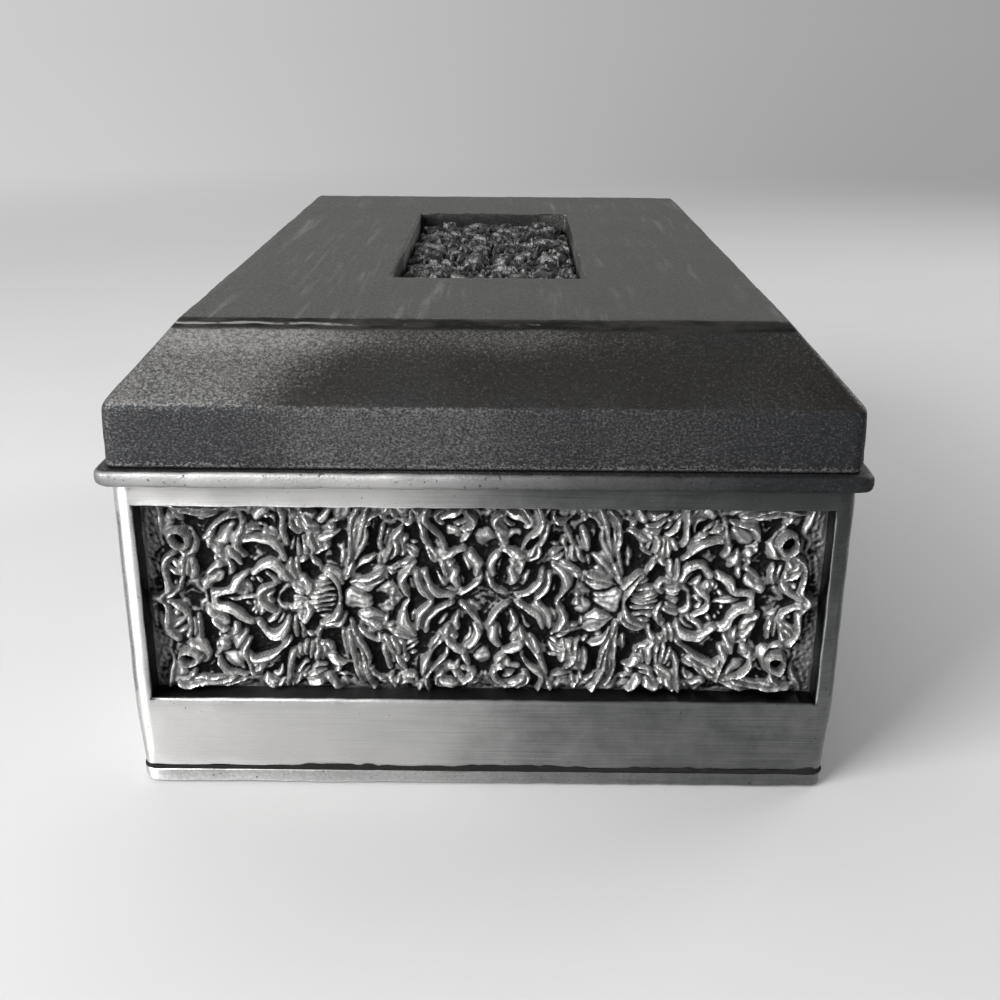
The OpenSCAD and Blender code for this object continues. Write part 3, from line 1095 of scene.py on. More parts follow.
@dataclass(frozen=True)
class Stroke:
    """One strand of the ornament: its path, and its widths and heights at root, middle and tip."""

    path: tuple[Pair, ...]
    width: Triple
    height: Triple
    profile: Profile = Profile.ROUND
    ridges: int = 4

    def swell(self) -> float:
        """Returns how much wider than drawn the strand is modelled."""
        return 1.0 if self.profile is Profile.HOLLOW else 1.4

    def samples(self, step: float = 0.06) -> tuple[np.ndarray, np.ndarray, np.ndarray, np.ndarray]:
        """Walks the path on a smooth curve.

        Args:
            step: The distance between samples in millimetres.

        Returns:
            Points, unit side vectors, half widths and heights.
        """
        knots = np.array(self.path, float)
        if len(knots) == 1:
            knots = np.vstack((knots, knots + (0.01, 0.0)))
        ends = np.vstack((2 * knots[0] - knots[1], knots, 2 * knots[-1] - knots[-2]))
        parts = []
        for a, b, c, d in zip(ends, ends[1:], ends[2:], ends[3:]):
            t = np.linspace(0, 1, max(2, int(np.hypot(*(c - b)) / step)), endpoint=False)[:, None]
            bend = 2 * b + (c - a) * t + (2 * a - 5 * b + 4 * c - d) * t**2
            bend += (3 * b - a - 3 * c + d) * t**3
            parts.append(0.5 * bend)
        line = np.vstack(parts + [knots[-1:]])
        way = np.gradient(line, axis=0)
        way /= np.linalg.norm(way, axis=1, keepdims=True).clip(1e-9)
        side = np.column_stack((-way[:, 1], way[:, 0]))
        share = np.linspace(0, 1, len(line))
        halves = 0.5 * self.swell() * np.interp(share, (0, 0.5, 1), self.width)
        return line, side, halves, np.interp(share, (0, 0.5, 1), self.height)

    def carve(self, field: np.ndarray, u: np.ndarray, v: np.ndarray) -> None:
        """Models the strand into a field of heights, with a gutter round it.

        Args:
            field: Heights from 0 to 1, changed in place.
            u: The draft's places along, one to a column.
            v: The draft's places up, one to a row.
        """
        line, side, halves, heights = self.samples()
        cut = self.profile is Profile.HOLLOW
        reach = halves.max() + (0.1 if cut else FOLD_REACH)
        columns = np.flatnonzero((u > line[:, 0].min() - reach) & (u < line[:, 0].max() + reach))
        rows = np.flatnonzero((v > line[:, 1].min() - reach) & (v < line[:, 1].max() + reach))
        if not len(columns) or not len(rows):
            return
        patch = np.ix_(rows, columns)
        spots = np.stack(np.meshgrid(u[columns], v[rows]), axis=-1).reshape(-1, 2)
        gap = spots[:, None, :] - line[None, :, :]
        far = np.sqrt((gap**2).sum(axis=-1))
        near = (far / halves).argmin(axis=1)
        pick = np.arange(len(spots))
        half = halves[near]
        out = far[pick, near]
        sign = np.sign((gap[pick, near] * side[near]).sum(axis=1))
        under = field[patch].ravel()
        away = (out - half).clip(0)
        folds = np.exp(-away / FOLD_FADE) * (0.5 - 0.5 * np.cos(2 * math.pi * away / FOLD_WIDTH))
        folds *= FOLD_SHARE * heights[near] * (away < FOLD_REACH)
        gutter = 1 - GUTTER_DEPTH * np.exp(-((away / GUTTER_WIDTH) ** 2))
        carved = under if cut else np.maximum(under * gutter, folds)
        shape = self.profile.shape(sign * out / half, self.ridges)
        if self.profile is Profile.ROUND:
            dip = DIP_DEPTH * ((half - DIP_START) / DIP_GROWTH).clip(0, 1)
            shape = shape - dip * np.exp(-((out / half / DIP_WIDTH) ** 2))
        raised = carved + (heights[near] - carved) * shape
        lifted = np.where(out < half, raised if cut else np.maximum(raised, carved), carved)
        field[patch] = lifted.reshape(len(rows), len(columns))


def strand(
    *path: Pair, wide: float | Triple = 0.55, tall: float | Triple = 0.85, **more: object
) -> Stroke:
    """Writes a strand briefly.

    Args:
        *path: Its path.
        wide: Its width, or its widths at root, middle and tip.
        tall: Its height, or its heights there.
        **more: Its profile and ridges, where they aren't the usual ones.

    Returns:
        The strand.
    """
    widths = wide if isinstance(wide, tuple) else (0.75 * wide, wide, 0.6 * wide)
    heights = tall if isinstance(tall, tuple) else (0.85 * tall, tall, 0.75 * tall)
    return Stroke(path, widths, heights, **more)


def round_path(centre: Pair, radius: float) -> tuple[Pair, ...]:
    """Returns points right round a circle, the first one twice."""
    turns = np.radians(range(0, 361, 30))
    return tuple((centre[0] + radius * math.cos(a), centre[1] + radius * math.sin(a)) for a in turns)


def hole(*path: Pair, wide: float, floor: float = 0.05) -> Stroke:
    """Returns a hollow cut down to a floor along a path."""
    return Stroke(path, (wide,) * 3, (floor,) * 3, Profile.HOLLOW)


CREST = Profile.CREST
SLAB = Profile.SLAB
RIMMED = Profile.RIMMED
STRANDED = Profile.STRANDED

# One quarter of the front panel's design, from its middle outward and upward
BRACKET = (
    strand((34.2, 10.9), (33.8, 9.5), (33.5, 8), (33.5, 6.9), wide=0.65, tall=0.6),
    strand((34.8, 9.9), (34.4, 9), wide=0.4, tall=0.3),
    strand((32.2, 8.2), (32.4, 9.2), (32.9, 10), wide=1.3, tall=0.4),
    strand((31, 8), (31.3, 9.1), (32, 9.8), (33, 10), wide=0.6, tall=0.8),
    strand((30, 10.7), (28, 10.6), (26.4, 10.2), (25.7, 9.6), wide=0.45, tall=0.5),
    strand((33, 10.3), (31, 10.35), (29, 10.1), (27.2, 9.65), (26.2, 9.2), wide=0.65, tall=0.82),
    strand((31.2, 9.75), (29.8, 9.7), (28.2, 9.4), (26.8, 9), wide=0.5, tall=0.7),
    strand((29.7, 9.05), (29.3, 9), wide=0.5, tall=0.4),
    strand((31.5, 6.6), (31.2, 6), (31.1, 5.6), wide=(2.9, 2.9, 2.4), tall=(0.95, 0.95, 0.85)),
    strand(*round_path((31.65, 6.85), 0.92), wide=(0.5, 0.5, 0.5), tall=(1, 1, 1)),
    hole((31.7, 6.85), (31.68, 6.84), wide=1.4),
    strand(
        (32.9, 4.3), (32.7, 2.6), (32.8, 1.3), (33.6, 0.3),
        wide=(1.6, 1.7, 0.8), tall=0.42, profile=STRANDED, ridges=2,
    ),
    strand((30.6, 4.2), (30.6, 3), (31, 1.8), (32.6, 0.5), wide=(1.3, 1.4, 0.5), tall=0.42),
    strand(
        (32.8, 5.1), (33.4, 4.3), (33.65, 3.2), (33.5, 1.6), (33.7, 0.7), (34.4, 0.15), (35.1, 0),
        wide=(0.5, 0.6, 0.7),
    ),
    strand((31.8, 4.5), (31.7, 3), (31.8, 1.7), (32.4, 0.9), (33.5, 0.3), wide=0.65),
    strand((33, 3.4), (32.5, 2.9), (31.9, 2.4), wide=0.45, tall=0.7),
    strand((32.7, 4.2), (32.3, 3.8), (32, 3.4), wide=0.5, tall=0.65),
    strand((32.6, 1.9), (32.5, 1.5), wide=0.5, tall=0.6),
    strand((30.4, 4.4), (30.3, 3.2), (30.5, 2.2), wide=0.6),
    strand((31.15, 4.3), (31, 3.3), (31.1, 2.6), wide=0.45, tall=0.6),
)

WAVY_LEAF = (
    strand((27, 1.8), (27.1, 3.6), (27.4, 5.4), wide=(1.3, 1.6, 1.5), tall=0.45),
    strand((28.1, 6.7), (27.4, 7.6), (26.5, 8.5), wide=(1.2, 2.3, 1.4), tall=(0.5, 0.62, 0.6)),
    strand(
        (28.5, 6), (28.6, 7), (28.3, 8), (27.5, 8.75), (26.5, 9.1), (25.8, 9.1),
        wide=0.55, tall=0.95,
    ),
    strand((28.95, 6.8), (28.6, 6), (28.2, 5.3), (27.8, 4.8), (27.9, 4.2), (27.4, 3.6), wide=0.5, tall=0.8),
    strand((28.6, 6.4), (28, 6.1), (27.4, 6), (26.95, 5.7), (26.9, 5.1), (27.5, 4.7), wide=0.5),
    strand((27.9, 5.3), (27.5, 5.6), wide=(0.6, 0.8, 0.6), tall=0.75),
    strand(
        (26.6, 6), (26.7, 4.9), (26.5, 3.9), (26.6, 2.9), (26.95, 1.9), (27.6, 1.2), (28.4, 0.85),
        wide=0.55, tall=0.75,
    ),
    strand((27.5, 3.8), (28.1, 3.1), (28.8, 2.3), (29.35, 1.6), wide=(0.6, 0.8, 0.6)),
    strand((27.5, 2.7), (27.8, 2), (28.4, 1.5), (28.9, 1.4), wide=(0.7, 1.1, 1.2), tall=(0.6, 0.8, 0.85)),
    strand((26.5, 5.9), (26.2, 5), (25.6, 4.1), wide=(0.6, 0.9, 0.5), tall=0.78, profile=CREST),
)

SCROLL = (
    strand((23.8, 5.7), (22.6, 5.3), (21.4, 4.4), wide=(1, 1.7, 1), tall=0.3),
    strand(
        (27.2, 8), (25.6, 8.2), (24, 7.9), (22.6, 7.1), (21.3, 5.8), (20.4, 4.3),
        wide=(1.6, 2, 0.6), tall=(0.7, 0.85, 0.55),
    ),
    strand((25.5, 7.7), (24.4, 7.9), (23, 7.55), (21.8, 6.8), wide=0.5, tall=0.95),
    strand(
        (25.6, 5.4), (25.5, 6.2), (25, 6.8), (24.2, 7.05), (23, 6.7), (21.6, 5.7), (20.4, 4.1),
        wide=0.65, tall=1,
    ),
    strand((25.6, 5.2), (25.85, 6.2), (25.7, 7.3), (25.2, 8.3), (25, 9), wide=(1.1, 0.8, 0.5), tall=1),
    strand((24.6, 8.6), (24, 8.3), (23.5, 7.8), wide=0.45, tall=0.9),
    hole((25, 4.4), (24.4, 3.9), wide=0.9),
    hole((24.6, 5), (24.1, 5.4), wide=0.5, floor=0.1),
)

FLOWER_HEAD = (
    strand(
        (28, 0), (26, 0.6), (24, 1.4), (22, 1.8), (20.4, 1.2),
        wide=(1.4, 3.6, 3.2), tall=0.4, profile=SLAB,
    ),
    strand((25.2, 2.7), (25.8, 1.4), (25.9, 0.2), wide=0.45, tall=0.55),
    strand((24.9, 2.7), (24.7, 1.4), (24.3, 0.2), wide=0.45, tall=0.58),
    strand((24.9, 0.9), (25.2, 0.5), wide=0.5, tall=0.55),
    strand((24.4, 2.2), (24.2, 1.7), wide=0.5, tall=0.62),
    strand((23.9, 2.3), (23.5, 1.6), (23.2, 1.2), wide=0.45, tall=0.62),
    strand((22.9, 2.9), (22.2, 2.1), (21.7, 1.6), wide=0.65, tall=0.75),
    strand((22.2, 3.3), (21.4, 2.5), (20.7, 1.9), wide=0.5, tall=0.6),
    strand((23.7, -0.1), (23.5, 0.6), (23, 1.15), (22.2, 1.5), wide=0.65),
    strand((22.9, 0), (22.5, 0.5), (22, 0.7), wide=0.45, tall=0.6),
    hole((20.8, 0), (20.75, 0.45), wide=1.2, floor=0.1),
    strand((21.75, -0.1), (21.65, 0.6), (21.2, 1.15), (20.5, 1.2), (19.9, 0.75), wide=0.5, tall=0.8),
    strand((28.5, 0), (26.5, 0), (24.2, 0), wide=(0.6, 0.5, 0.4), tall=0.66),
    strand(
        *((28.6, 0), (28.5, 0.5), (27.9, 0.75), (26.8, 0.95), (26.2, 1.4)),
        *((25.9, 2.1), (25.4, 2.7), (24.6, 3.05), (23.9, 3.1)),
        wide=(0.8, 0.85, 0.75), tall=0.97,
    ),
    strand(
        (24.1, 3), (23.5, 3.6), (22.8, 4.15), (22, 4), (21.2, 3.4), (20.5, 2.4), (20, 1.6),
        wide=(0.7, 0.9, 0.45), tall=0.97,
    ),
)

SHEAF = (
    strand((20.2, 0.2), (17.8, 0.3), (15.3, 0.3), wide=(2.6, 4.2, 4.6), tall=0.52, profile=STRANDED, ridges=8),
    strand((20.1, 0.85), (18, 0.4), (15.4, 0.12), wide=0.4, tall=0.72),
    strand((20.3, 1.4), (18.8, 1.05), (17.4, 0.9), (15.5, 0.75), wide=0.45, tall=0.75),
    strand((19.6, 2), (17.8, 1.6), (15.8, 1.5), wide=0.45, tall=0.68),
    strand((17.4, 2.3), (16.2, 2.2), wide=0.4, tall=0.6),
    hole((18.2, 2.8), (17.9, 3.4), wide=1),
    strand(
        (14.4, -0.1), (14.45, 0.9), (14.75, 1.8), (15.3, 2.7), (16, 3.2), (16.8, 3.35),
        wide=0.65, tall=1,
    ),
    strand((15.1, -0.1), (15.2, 1), (15.6, 1.9), (16.1, 2.6), (16.9, 3), wide=0.6, tall=0.95),
    strand((19.4, 2.3), (18.9, 2.6), (18.5, 1.9), (18.5, 1.2), (18.8, 0.7), tall=0.78),
    strand((20.1, 4.5), (20.2, 3.4), (19.9, 2.5), tall=0.72),
    strand((19.4, 4.9), (19.3, 3.9), (19.5, 3), wide=0.5, tall=0.66),
    strand((18.9, 4.1), (18.2, 4.7), wide=0.45, tall=0.7),
    strand((18, 5.1), (17.7, 4.3), (17.4, 3.8), (17.5, 3.2), wide=0.6, tall=0.8),
)

BELL_FLOWER = (
    strand((23.4, 9.6), (22.7, 10.2), (21.8, 10.5), wide=(0.9, 1.3, 1), tall=0.6),
    strand((23, 9), (22.3, 9.3), (21.8, 8.9), (21.7, 8), wide=0.5, tall=0.6),
    strand((20.2, 6), (19.2, 6.6), (18.1, 7.3), wide=(1.4, 2.4, 2), tall=0.55, profile=STRANDED, ridges=3),
    strand((17.3, 6.3), (16.9, 7), wide=(1.6, 1.8, 1.2), tall=0.5),
    strand((19.3, 10.2), (18.9, 9.4), (18.6, 8.6), wide=0.9, tall=0.5),
    strand((22.2, 10.5), (21.4, 9.7), (21.1, 8.6), wide=0.5, tall=0.55),
    strand(
        (21.2, 10.6), (20.9, 9), (20.8, 7.4), (20.5, 6.3), (19.9, 5.5), (19.2, 5.2),
        wide=0.55, tall=0.88,
    ),
    strand(
        (20.6, 10.6), (20.1, 9.3), (19.8, 8.3), (19.3, 7.75), (18.8, 7.7), (18.5, 8.2),
        wide=0.5, tall=0.85,
    ),
    strand((20.2, 10.2), (19.6, 9.3), (19.1, 8.6), (18.5, 8.2), wide=0.5),
    strand((19.9, 5.6), (19.6, 6.3), (19.5, 7)),
    strand((19.1, 5.2), (19, 6), (19, 6.9), wide=0.6, tall=0.9),
    strand((18.4, 5.5), (18.3, 6.3), (18.5, 7.2), wide=0.6, tall=0.9),
    strand((17.6, 7.8), (17.8, 6.8), (17.6, 5.9), (18, 5.1), wide=0.6),
    strand((16.3, 7.6), (16.1, 6.6), (16.4, 5.8), (17.4, 5.3), wide=0.6),
    strand((17.1, 7.4), (16.9, 6.5), (16.9, 6), wide=0.5, tall=0.75),
    strand((18.8, 10), (17.6, 9.6), (16.6, 9.3), wide=(0.6, 1.1, 0.8), tall=0.9),
    strand((16.5, 9.3), (16, 10.1), (15.5, 10.8), wide=(0.9, 0.7, 0.5), tall=0.88),
    strand((19.3, 9.3), (18.5, 8.9), (17.7, 8.1), (16.8, 7.9), wide=0.5, tall=0.82),
    strand((18.7, 9.3), (17.8, 8.8), (16.9, 8.5), wide=0.45, tall=0.78),
    strand((14.3, 10.6), (14.2, 9.8), (14.7, 9.2), (15.9, 8.9), wide=0.5, tall=0.72),
    strand((14.9, 10.4), (15.4, 9.6), wide=0.8, tall=0.45),
    strand((16.4, 7), (15.6, 7.5), (14.9, 7.8), wide=(0.8, 0.6, 0.3), tall=0.78),
    strand((15.9, 8.6), (15.4, 8.2), wide=0.5, tall=0.6),
)

FAN = (
    strand((14.8, 6.3), (14.9, 5.2), (15, 4.1), wide=0.65, tall=0.75, profile=CREST),
    strand((14.4, 5.6), (14.1, 4.6), (14.3, 3.7), wide=0.65, tall=0.72, profile=CREST),
    strand(
        (14.2, 2.5), (13.5, 5), (13.2, 7.5), (12.8, 10.2),
        wide=(0.7, 2.2, 2.4), tall=0.5, profile=STRANDED, ridges=3,
    ),
    strand((14.3, 2.6), (14.1, 5), (14.05, 7.4), (13.8, 9), (13.1, 10.2), wide=0.5, tall=0.86),
    strand((13.6, 5.6), (13.6, 7.4), (13.3, 8.9), wide=0.4, tall=0.75),
    strand(
        (14.1, 2.4), (13.5, 4.2), (13.1, 6), (12.9, 7.5), (12.5, 9), (11.8, 10.7),
        wide=(0.5, 0.6, 0.75), tall=1,
    ),
    strand((13.3, 4.5), (12.6, 6.4), (12.1, 8.2), (11.7, 9.3), (11, 10.3), wide=0.5),
    strand((11.2, 9.8), (9.8, 9.9), (8.3, 9.7), (7.4, 10.3), wide=(1, 1.5, 1.3), tall=0.55),
    strand((11.9, 8.8), (11.2, 9.5), (10.3, 9.7), (9.6, 10.6), wide=0.5, tall=0.75),
    strand((10.4, 9.4), (10.05, 8.7), (9.8, 8.1), (9.5, 8.3), (9.35, 9.1), (9.5, 9.9), wide=0.5, tall=0.88),
    strand((9.3, 8.9), (8.5, 8.8), (7.7, 8.8), (7.4, 9.2), (7.4, 9.8), (7, 10.5), wide=0.5, tall=0.86),
    strand(
        (13.2, 2), (11.4, 3.9), (10.2, 5.6), (9.7, 7.7),
        wide=(0.6, 2.2, 1.8), tall=0.5, profile=STRANDED, ridges=3,
    ),
    strand((10.4, 8.1), (10.7, 7), (10.8, 5.7), (11.1, 4.3), (11.6, 3.4), tall=0.82),
    strand((9.9, 7.4), (10.1, 6.4), (10.5, 5.2), wide=0.4, tall=0.72),
    strand((8.8, 8.1), (9.5, 6.7), (10, 5.4), (10.7, 4), (11.5, 3.2), wide=0.5, tall=0.95),
    strand((8.3, 7.1), (8.4, 6.3), (8.8, 5.1), (9.5, 4.3), (10.6, 3.6), wide=(0.6, 0.85, 0.6), tall=0.95),
    strand((9.3, 6.3), (9.2, 5.4), (9.8, 4.5), tall=0.78),
    strand(
        (11.2, 5.5), (12, 4.8), (12.7, 4), (13.4, 3.1),
        wide=(0.4, 0.85, 0.4), tall=0.78, profile=CREST,
    ),
    strand((11.8, 3.5), (12.2, 3), (12.9, 2.3), wide=(0.9, 0.7, 0.4), tall=0.82),
    strand(
        (13.6, 1.9), (11.5, 2.9), (9.4, 3.6), (7.6, 4.4),
        wide=(0.6, 1.3, 1), tall=0.55, profile=STRANDED, ridges=2,
    ),
    strand((13.8, 1.8), (12.2, 2.5), (10.8, 3.2), (9.2, 3.9), (7.8, 4.6), wide=0.5, tall=0.88),
    strand((10.4, 3.25), (9.2, 3.5), (8, 3.9), wide=0.4, tall=0.78),
    strand((10.2, 3), (9.4, 2.85), (8.6, 3.2), wide=0.4, tall=0.8),
    strand((8.1, 6.2), (7.4, 5.7), (7, 5.1), wide=0.6, tall=0.6),
    strand((7.8, 6.6), (7.1, 6.5), wide=0.5, tall=0.55),
    strand((8.1, 5.5), (7.6, 5), (7.1, 4.7), wide=0.45, tall=0.62),
    strand((13.9, 1.3), (12.6, 1.5), (11.3, 1.7), (10.7, 2.1), wide=(0.6, 1, 0.4), tall=0.72),
    strand((10.5, 2.9), (10.2, 1.6), wide=0.35, tall=0.55),
    strand((13.9, 0.5), (12.8, 0.3), (11.9, 0.3), wide=(1.5, 1, 0.3), tall=0.66),
    strand((11.2, 0.9), (10.2, 1), (9.2, 0.5), wide=(0.6, 1.3, 0.9), tall=0.35),
    strand((9.8, 0.3), (9.6, 0.8), wide=0.45, tall=0.6),
    strand(
        (7.2, 4.1), (8.1, 3), (8.6, 2), (8.3, 1.1), (7.7, 0.2),
        wide=(0.4, 1.2, 0.4), tall=(0.75, 0.95, 0.7), profile=CREST,
    ),
)

ACANTHUS = (
    strand((6.6, 3.2), (5.9, 1.7), (4.4, 0.8), wide=(1.2, 2, 1), tall=0.42),
    strand((4.9, 2.5), (3.7, 1.7), (2.5, 1.4), wide=(1.5, 2.1, 1.2), tall=0.33),
    strand((7.5, 2.3), (7.2, 1.4), (6.8, 0.8), wide=0.45, tall=0.62),
    strand((7, 3.1), (6.8, 2.1), (6.5, 1.3), (5.9, 0.6), (5.3, 0.2), wide=0.6, tall=0.9),
    strand((6.2, 3.3), (5.9, 2.3), (5.2, 1.4), (4.2, 0.8), (3.3, 0.4), wide=0.65, tall=0.9),
    strand((4.9, 3.2), (4.4, 2.6), (4, 1.9), wide=0.5, tall=0.55),
    strand((6.6, 10.8), (6.3, 8.8), (5.7, 7.4), (4.9, 6.2), (4.5, 5.3), wide=(0.8, 1.7, 1), tall=0.52),
    hole((5.4, 6.9), (4.7, 5.8), wide=0.45, floor=0.2),
    strand(
        (7.1, 10.6), (6.55, 9.4), (6.6, 8.4), (6.4, 7.4), (6, 6.5), (5.4, 5.7), (4.7, 4.9),
        wide=0.6, tall=0.92,
    ),
    strand(
        (5.8, 10.8), (6.2, 9.7), (6.1, 8.7), (5.4, 7.9), (4.6, 7.2), (4.1, 6.4), (4.1, 5.6),
        wide=0.55, tall=0.92,
    ),
    strand((5.9, 5.8), (5.6, 5), (5, 4.3), wide=0.5, tall=0.72),
    strand((3.6, 9.4), (2.6, 8.7), (2, 8.3), wide=(1.2, 1.6, 1.2), tall=0.55),
    hole((3.4, 8.75), (2.6, 9.35), wide=0.5, floor=0.12),
    strand((4, 8.3), (4.7, 8.9), (4.8, 9.6), (4.3, 10.2), (3.5, 10.6), wide=0.5),
    strand((4.2, 9.3), (3.6, 9.7), (2.8, 9.9), (2.2, 10.3), wide=(0.6, 0.9, 0.6), tall=0.97),
    strand((3.7, 8.1), (2.9, 8.6), (2.1, 9.1), wide=0.45),
    strand((2, 9.9), (1.2, 9.4), (1, 8.6), (1.6, 8), (2.6, 7.8), (3.6, 8), wide=0.6, tall=0.9),
    strand((3.4, 7.7), (2.6, 7.3), wide=(1, 0.9, 0.6), tall=0.62),
    strand((1.3, 7.6), (1.8, 6.9), (2.5, 6.4), wide=(0.5, 0.75, 0.3), tall=0.78, profile=CREST),
    strand((0, 6.5), (0, 7.6), wide=(1, 1.3, 1), tall=0.3, profile=SLAB),
    strand((3.4, 4.4), (3, 3), (2.6, 2), wide=(1.3, 1.6, 0.9), tall=0.5),
    strand((1.6, 4.7), (1.35, 3.9), (1.3, 3.1), wide=(1, 1.3, 0.8), tall=0.58),
    hole((2.5, 4.9), (2.1, 3.9), (1.9, 2.7), wide=0.6, floor=0.08),
    strand((0.55, 4.4), (0.45, 3.4), (0.7, 2.2), (1.4, 1.2), (2.4, 0.6), wide=0.6, tall=0.8),
    strand((1.5, 5.4), (0.95, 4.6), (0.8, 3.8), (1, 2.9), wide=(0.7, 0.75, 0.5), tall=0.88),
    strand((3.9, 5.3), (4.2, 4.5), (4.1, 3.6), (3.6, 2.8), wide=0.6, tall=0.92),
    strand((4.1, 5.1), (3.4, 5.4), (2.7, 5.7), (2.1, 5.9), wide=(0.6, 0.85, 0.5), tall=1),
    strand((2.9, 3.4), (3.2, 2.6), (2.8, 1.7), wide=(0.6, 0.7, 0.3)),
    strand((3.6, 4.1), (2.9, 4.5), wide=0.45, tall=0.8),
)

# The black gaps between the leaves, cut again after the leaves have been joined
VOIDS = (
    hole((30.3, 8.9), (29.4, 8.6), wide=0.8),
    hole((29.4, 4.9), (29.3, 3.6), wide=0.8),
    hole((15.8, 6.2), (15.7, 4.4), wide=0.7),
    hole((12, 8), (11.3, 5.6), wide=0.55),
    hole((3.2, 7.1), (2.8, 6.4), wide=0.6),
    hole((23, 8.9), (22.4, 8.2), wide=0.6),
)

DESIGN = BRACKET + SCROLL + WAVY_LEAF + FLOWER_HEAD + SHEAF + BELL_FLOWER + FAN + ACANTHUS

# Half the length and half the height of the window that the quarter design was drawn for
DRAFT = (35.65, 11.05)


def softened(field: np.ndarray, cells: float) -> np.ndarray:
    """Blurs a field.

    Args:
        field: Rows by columns.
        cells: The blur's standard deviation in cells.

    Returns:
        The blurred field, as large as before.
    """
    reach = max(1, int(3 * cells))
    weights = np.exp(-0.5 * (np.arange(-reach, reach + 1) / cells) ** 2)
    weights /= weights.sum()
    for axis in (0, 1):
        pad = [(reach, reach) if i == axis else (0, 0) for i in (0, 1)]
        wide = np.pad(field, pad, mode="edge")
        count = field.shape[axis]
        field = sum(w * np.take(wide, range(i, i + count), axis) for i, w in enumerate(weights))
    return field


def spread(field: np.ndarray, reach: int, pick: Choice) -> np.ndarray:
    """Takes the highest or the lowest height within a round reach.

    Args:
        field: Rows by columns.
        reach: The reach in cells.
        pick: np.maximum or np.minimum.

    Returns:
        The new field, as large as before.
    """
    rows, columns = field.shape
    wide = np.pad(field, reach, mode="edge")
    grown = field
    for i in range(2 * reach + 1):
        for j in range(2 * reach + 1):
            if (i - reach) ** 2 + (j - reach) ** 2 <= reach**2:
                grown = pick(grown, wide[i : i + rows, j : j + columns])
    return grown


class Draft:
    """The quarter design as a field of heights, modelled once and shared by every panel.

    Gaps narrower than twice the joined reach fill up to the joined share of what lies round them,
    so that strands side by side read as one leaf.
    """

    step = 0.1
    beyond = 0.6
    ground = 0.03
    joined_reach = 5
    joined_share = 0.52
    fields: dict[str, np.ndarray] = {}

    @classmethod
    def field(cls) -> np.ndarray:
        """Models the quarter when it is first asked for.

        Returns:
            Its heights from 0 to 1, rows up and columns outward.
        """
        if "quarter" not in cls.fields:
            u, v = (np.arange(0, size + cls.beyond, cls.step) for size in DRAFT)
            quarter = np.full((len(v), len(u)), cls.ground)
            for stroke in DESIGN:
                stroke.carve(quarter, u, v)
            grown = spread(quarter, cls.joined_reach, np.maximum)
            faces = spread(grown, cls.joined_reach, np.minimum)
            quarter = np.maximum(quarter, cls.joined_share * faces)
            for stroke in DESIGN + VOIDS:
                if stroke.profile is Profile.HOLLOW:
                    stroke.carve(quarter, u, v)
            cls.fields["quarter"] = quarter
            log.info("ornament: %d strands modelled on the draft", len(DESIGN))
        return cls.fields["quarter"]

    @classmethod
    def read(cls, u: np.ndarray, v: np.ndarray) -> np.ndarray:
        """Reads heights between the draft's points.

        Args:
            u: Places outward, at least 0.
            v: Places up, at least 0.

        Returns:
            One height to a place.
        """
        quarter = cls.field()
        across = (u / cls.step).clip(0, quarter.shape[1] - 1.001)
        up = (v / cls.step).clip(0, quarter.shape[0] - 1.001)
        i = across.astype(int)
        j = up.astype(int)
        a = across - i
        b = up - j
        low = quarter[j, i] * (1 - a) + quarter[j, i + 1] * a
        high = quarter[j + 1, i] * (1 - a) + quarter[j + 1, i + 1] * a
        return low * (1 - b) + high * b


# The lid's ornament has grown darker than the walls'
LID_TONES = (0.003, 0.018, 0.085, 0.46)
WALL_TONES = (0.006, 0.25, 0.68, 0.48)


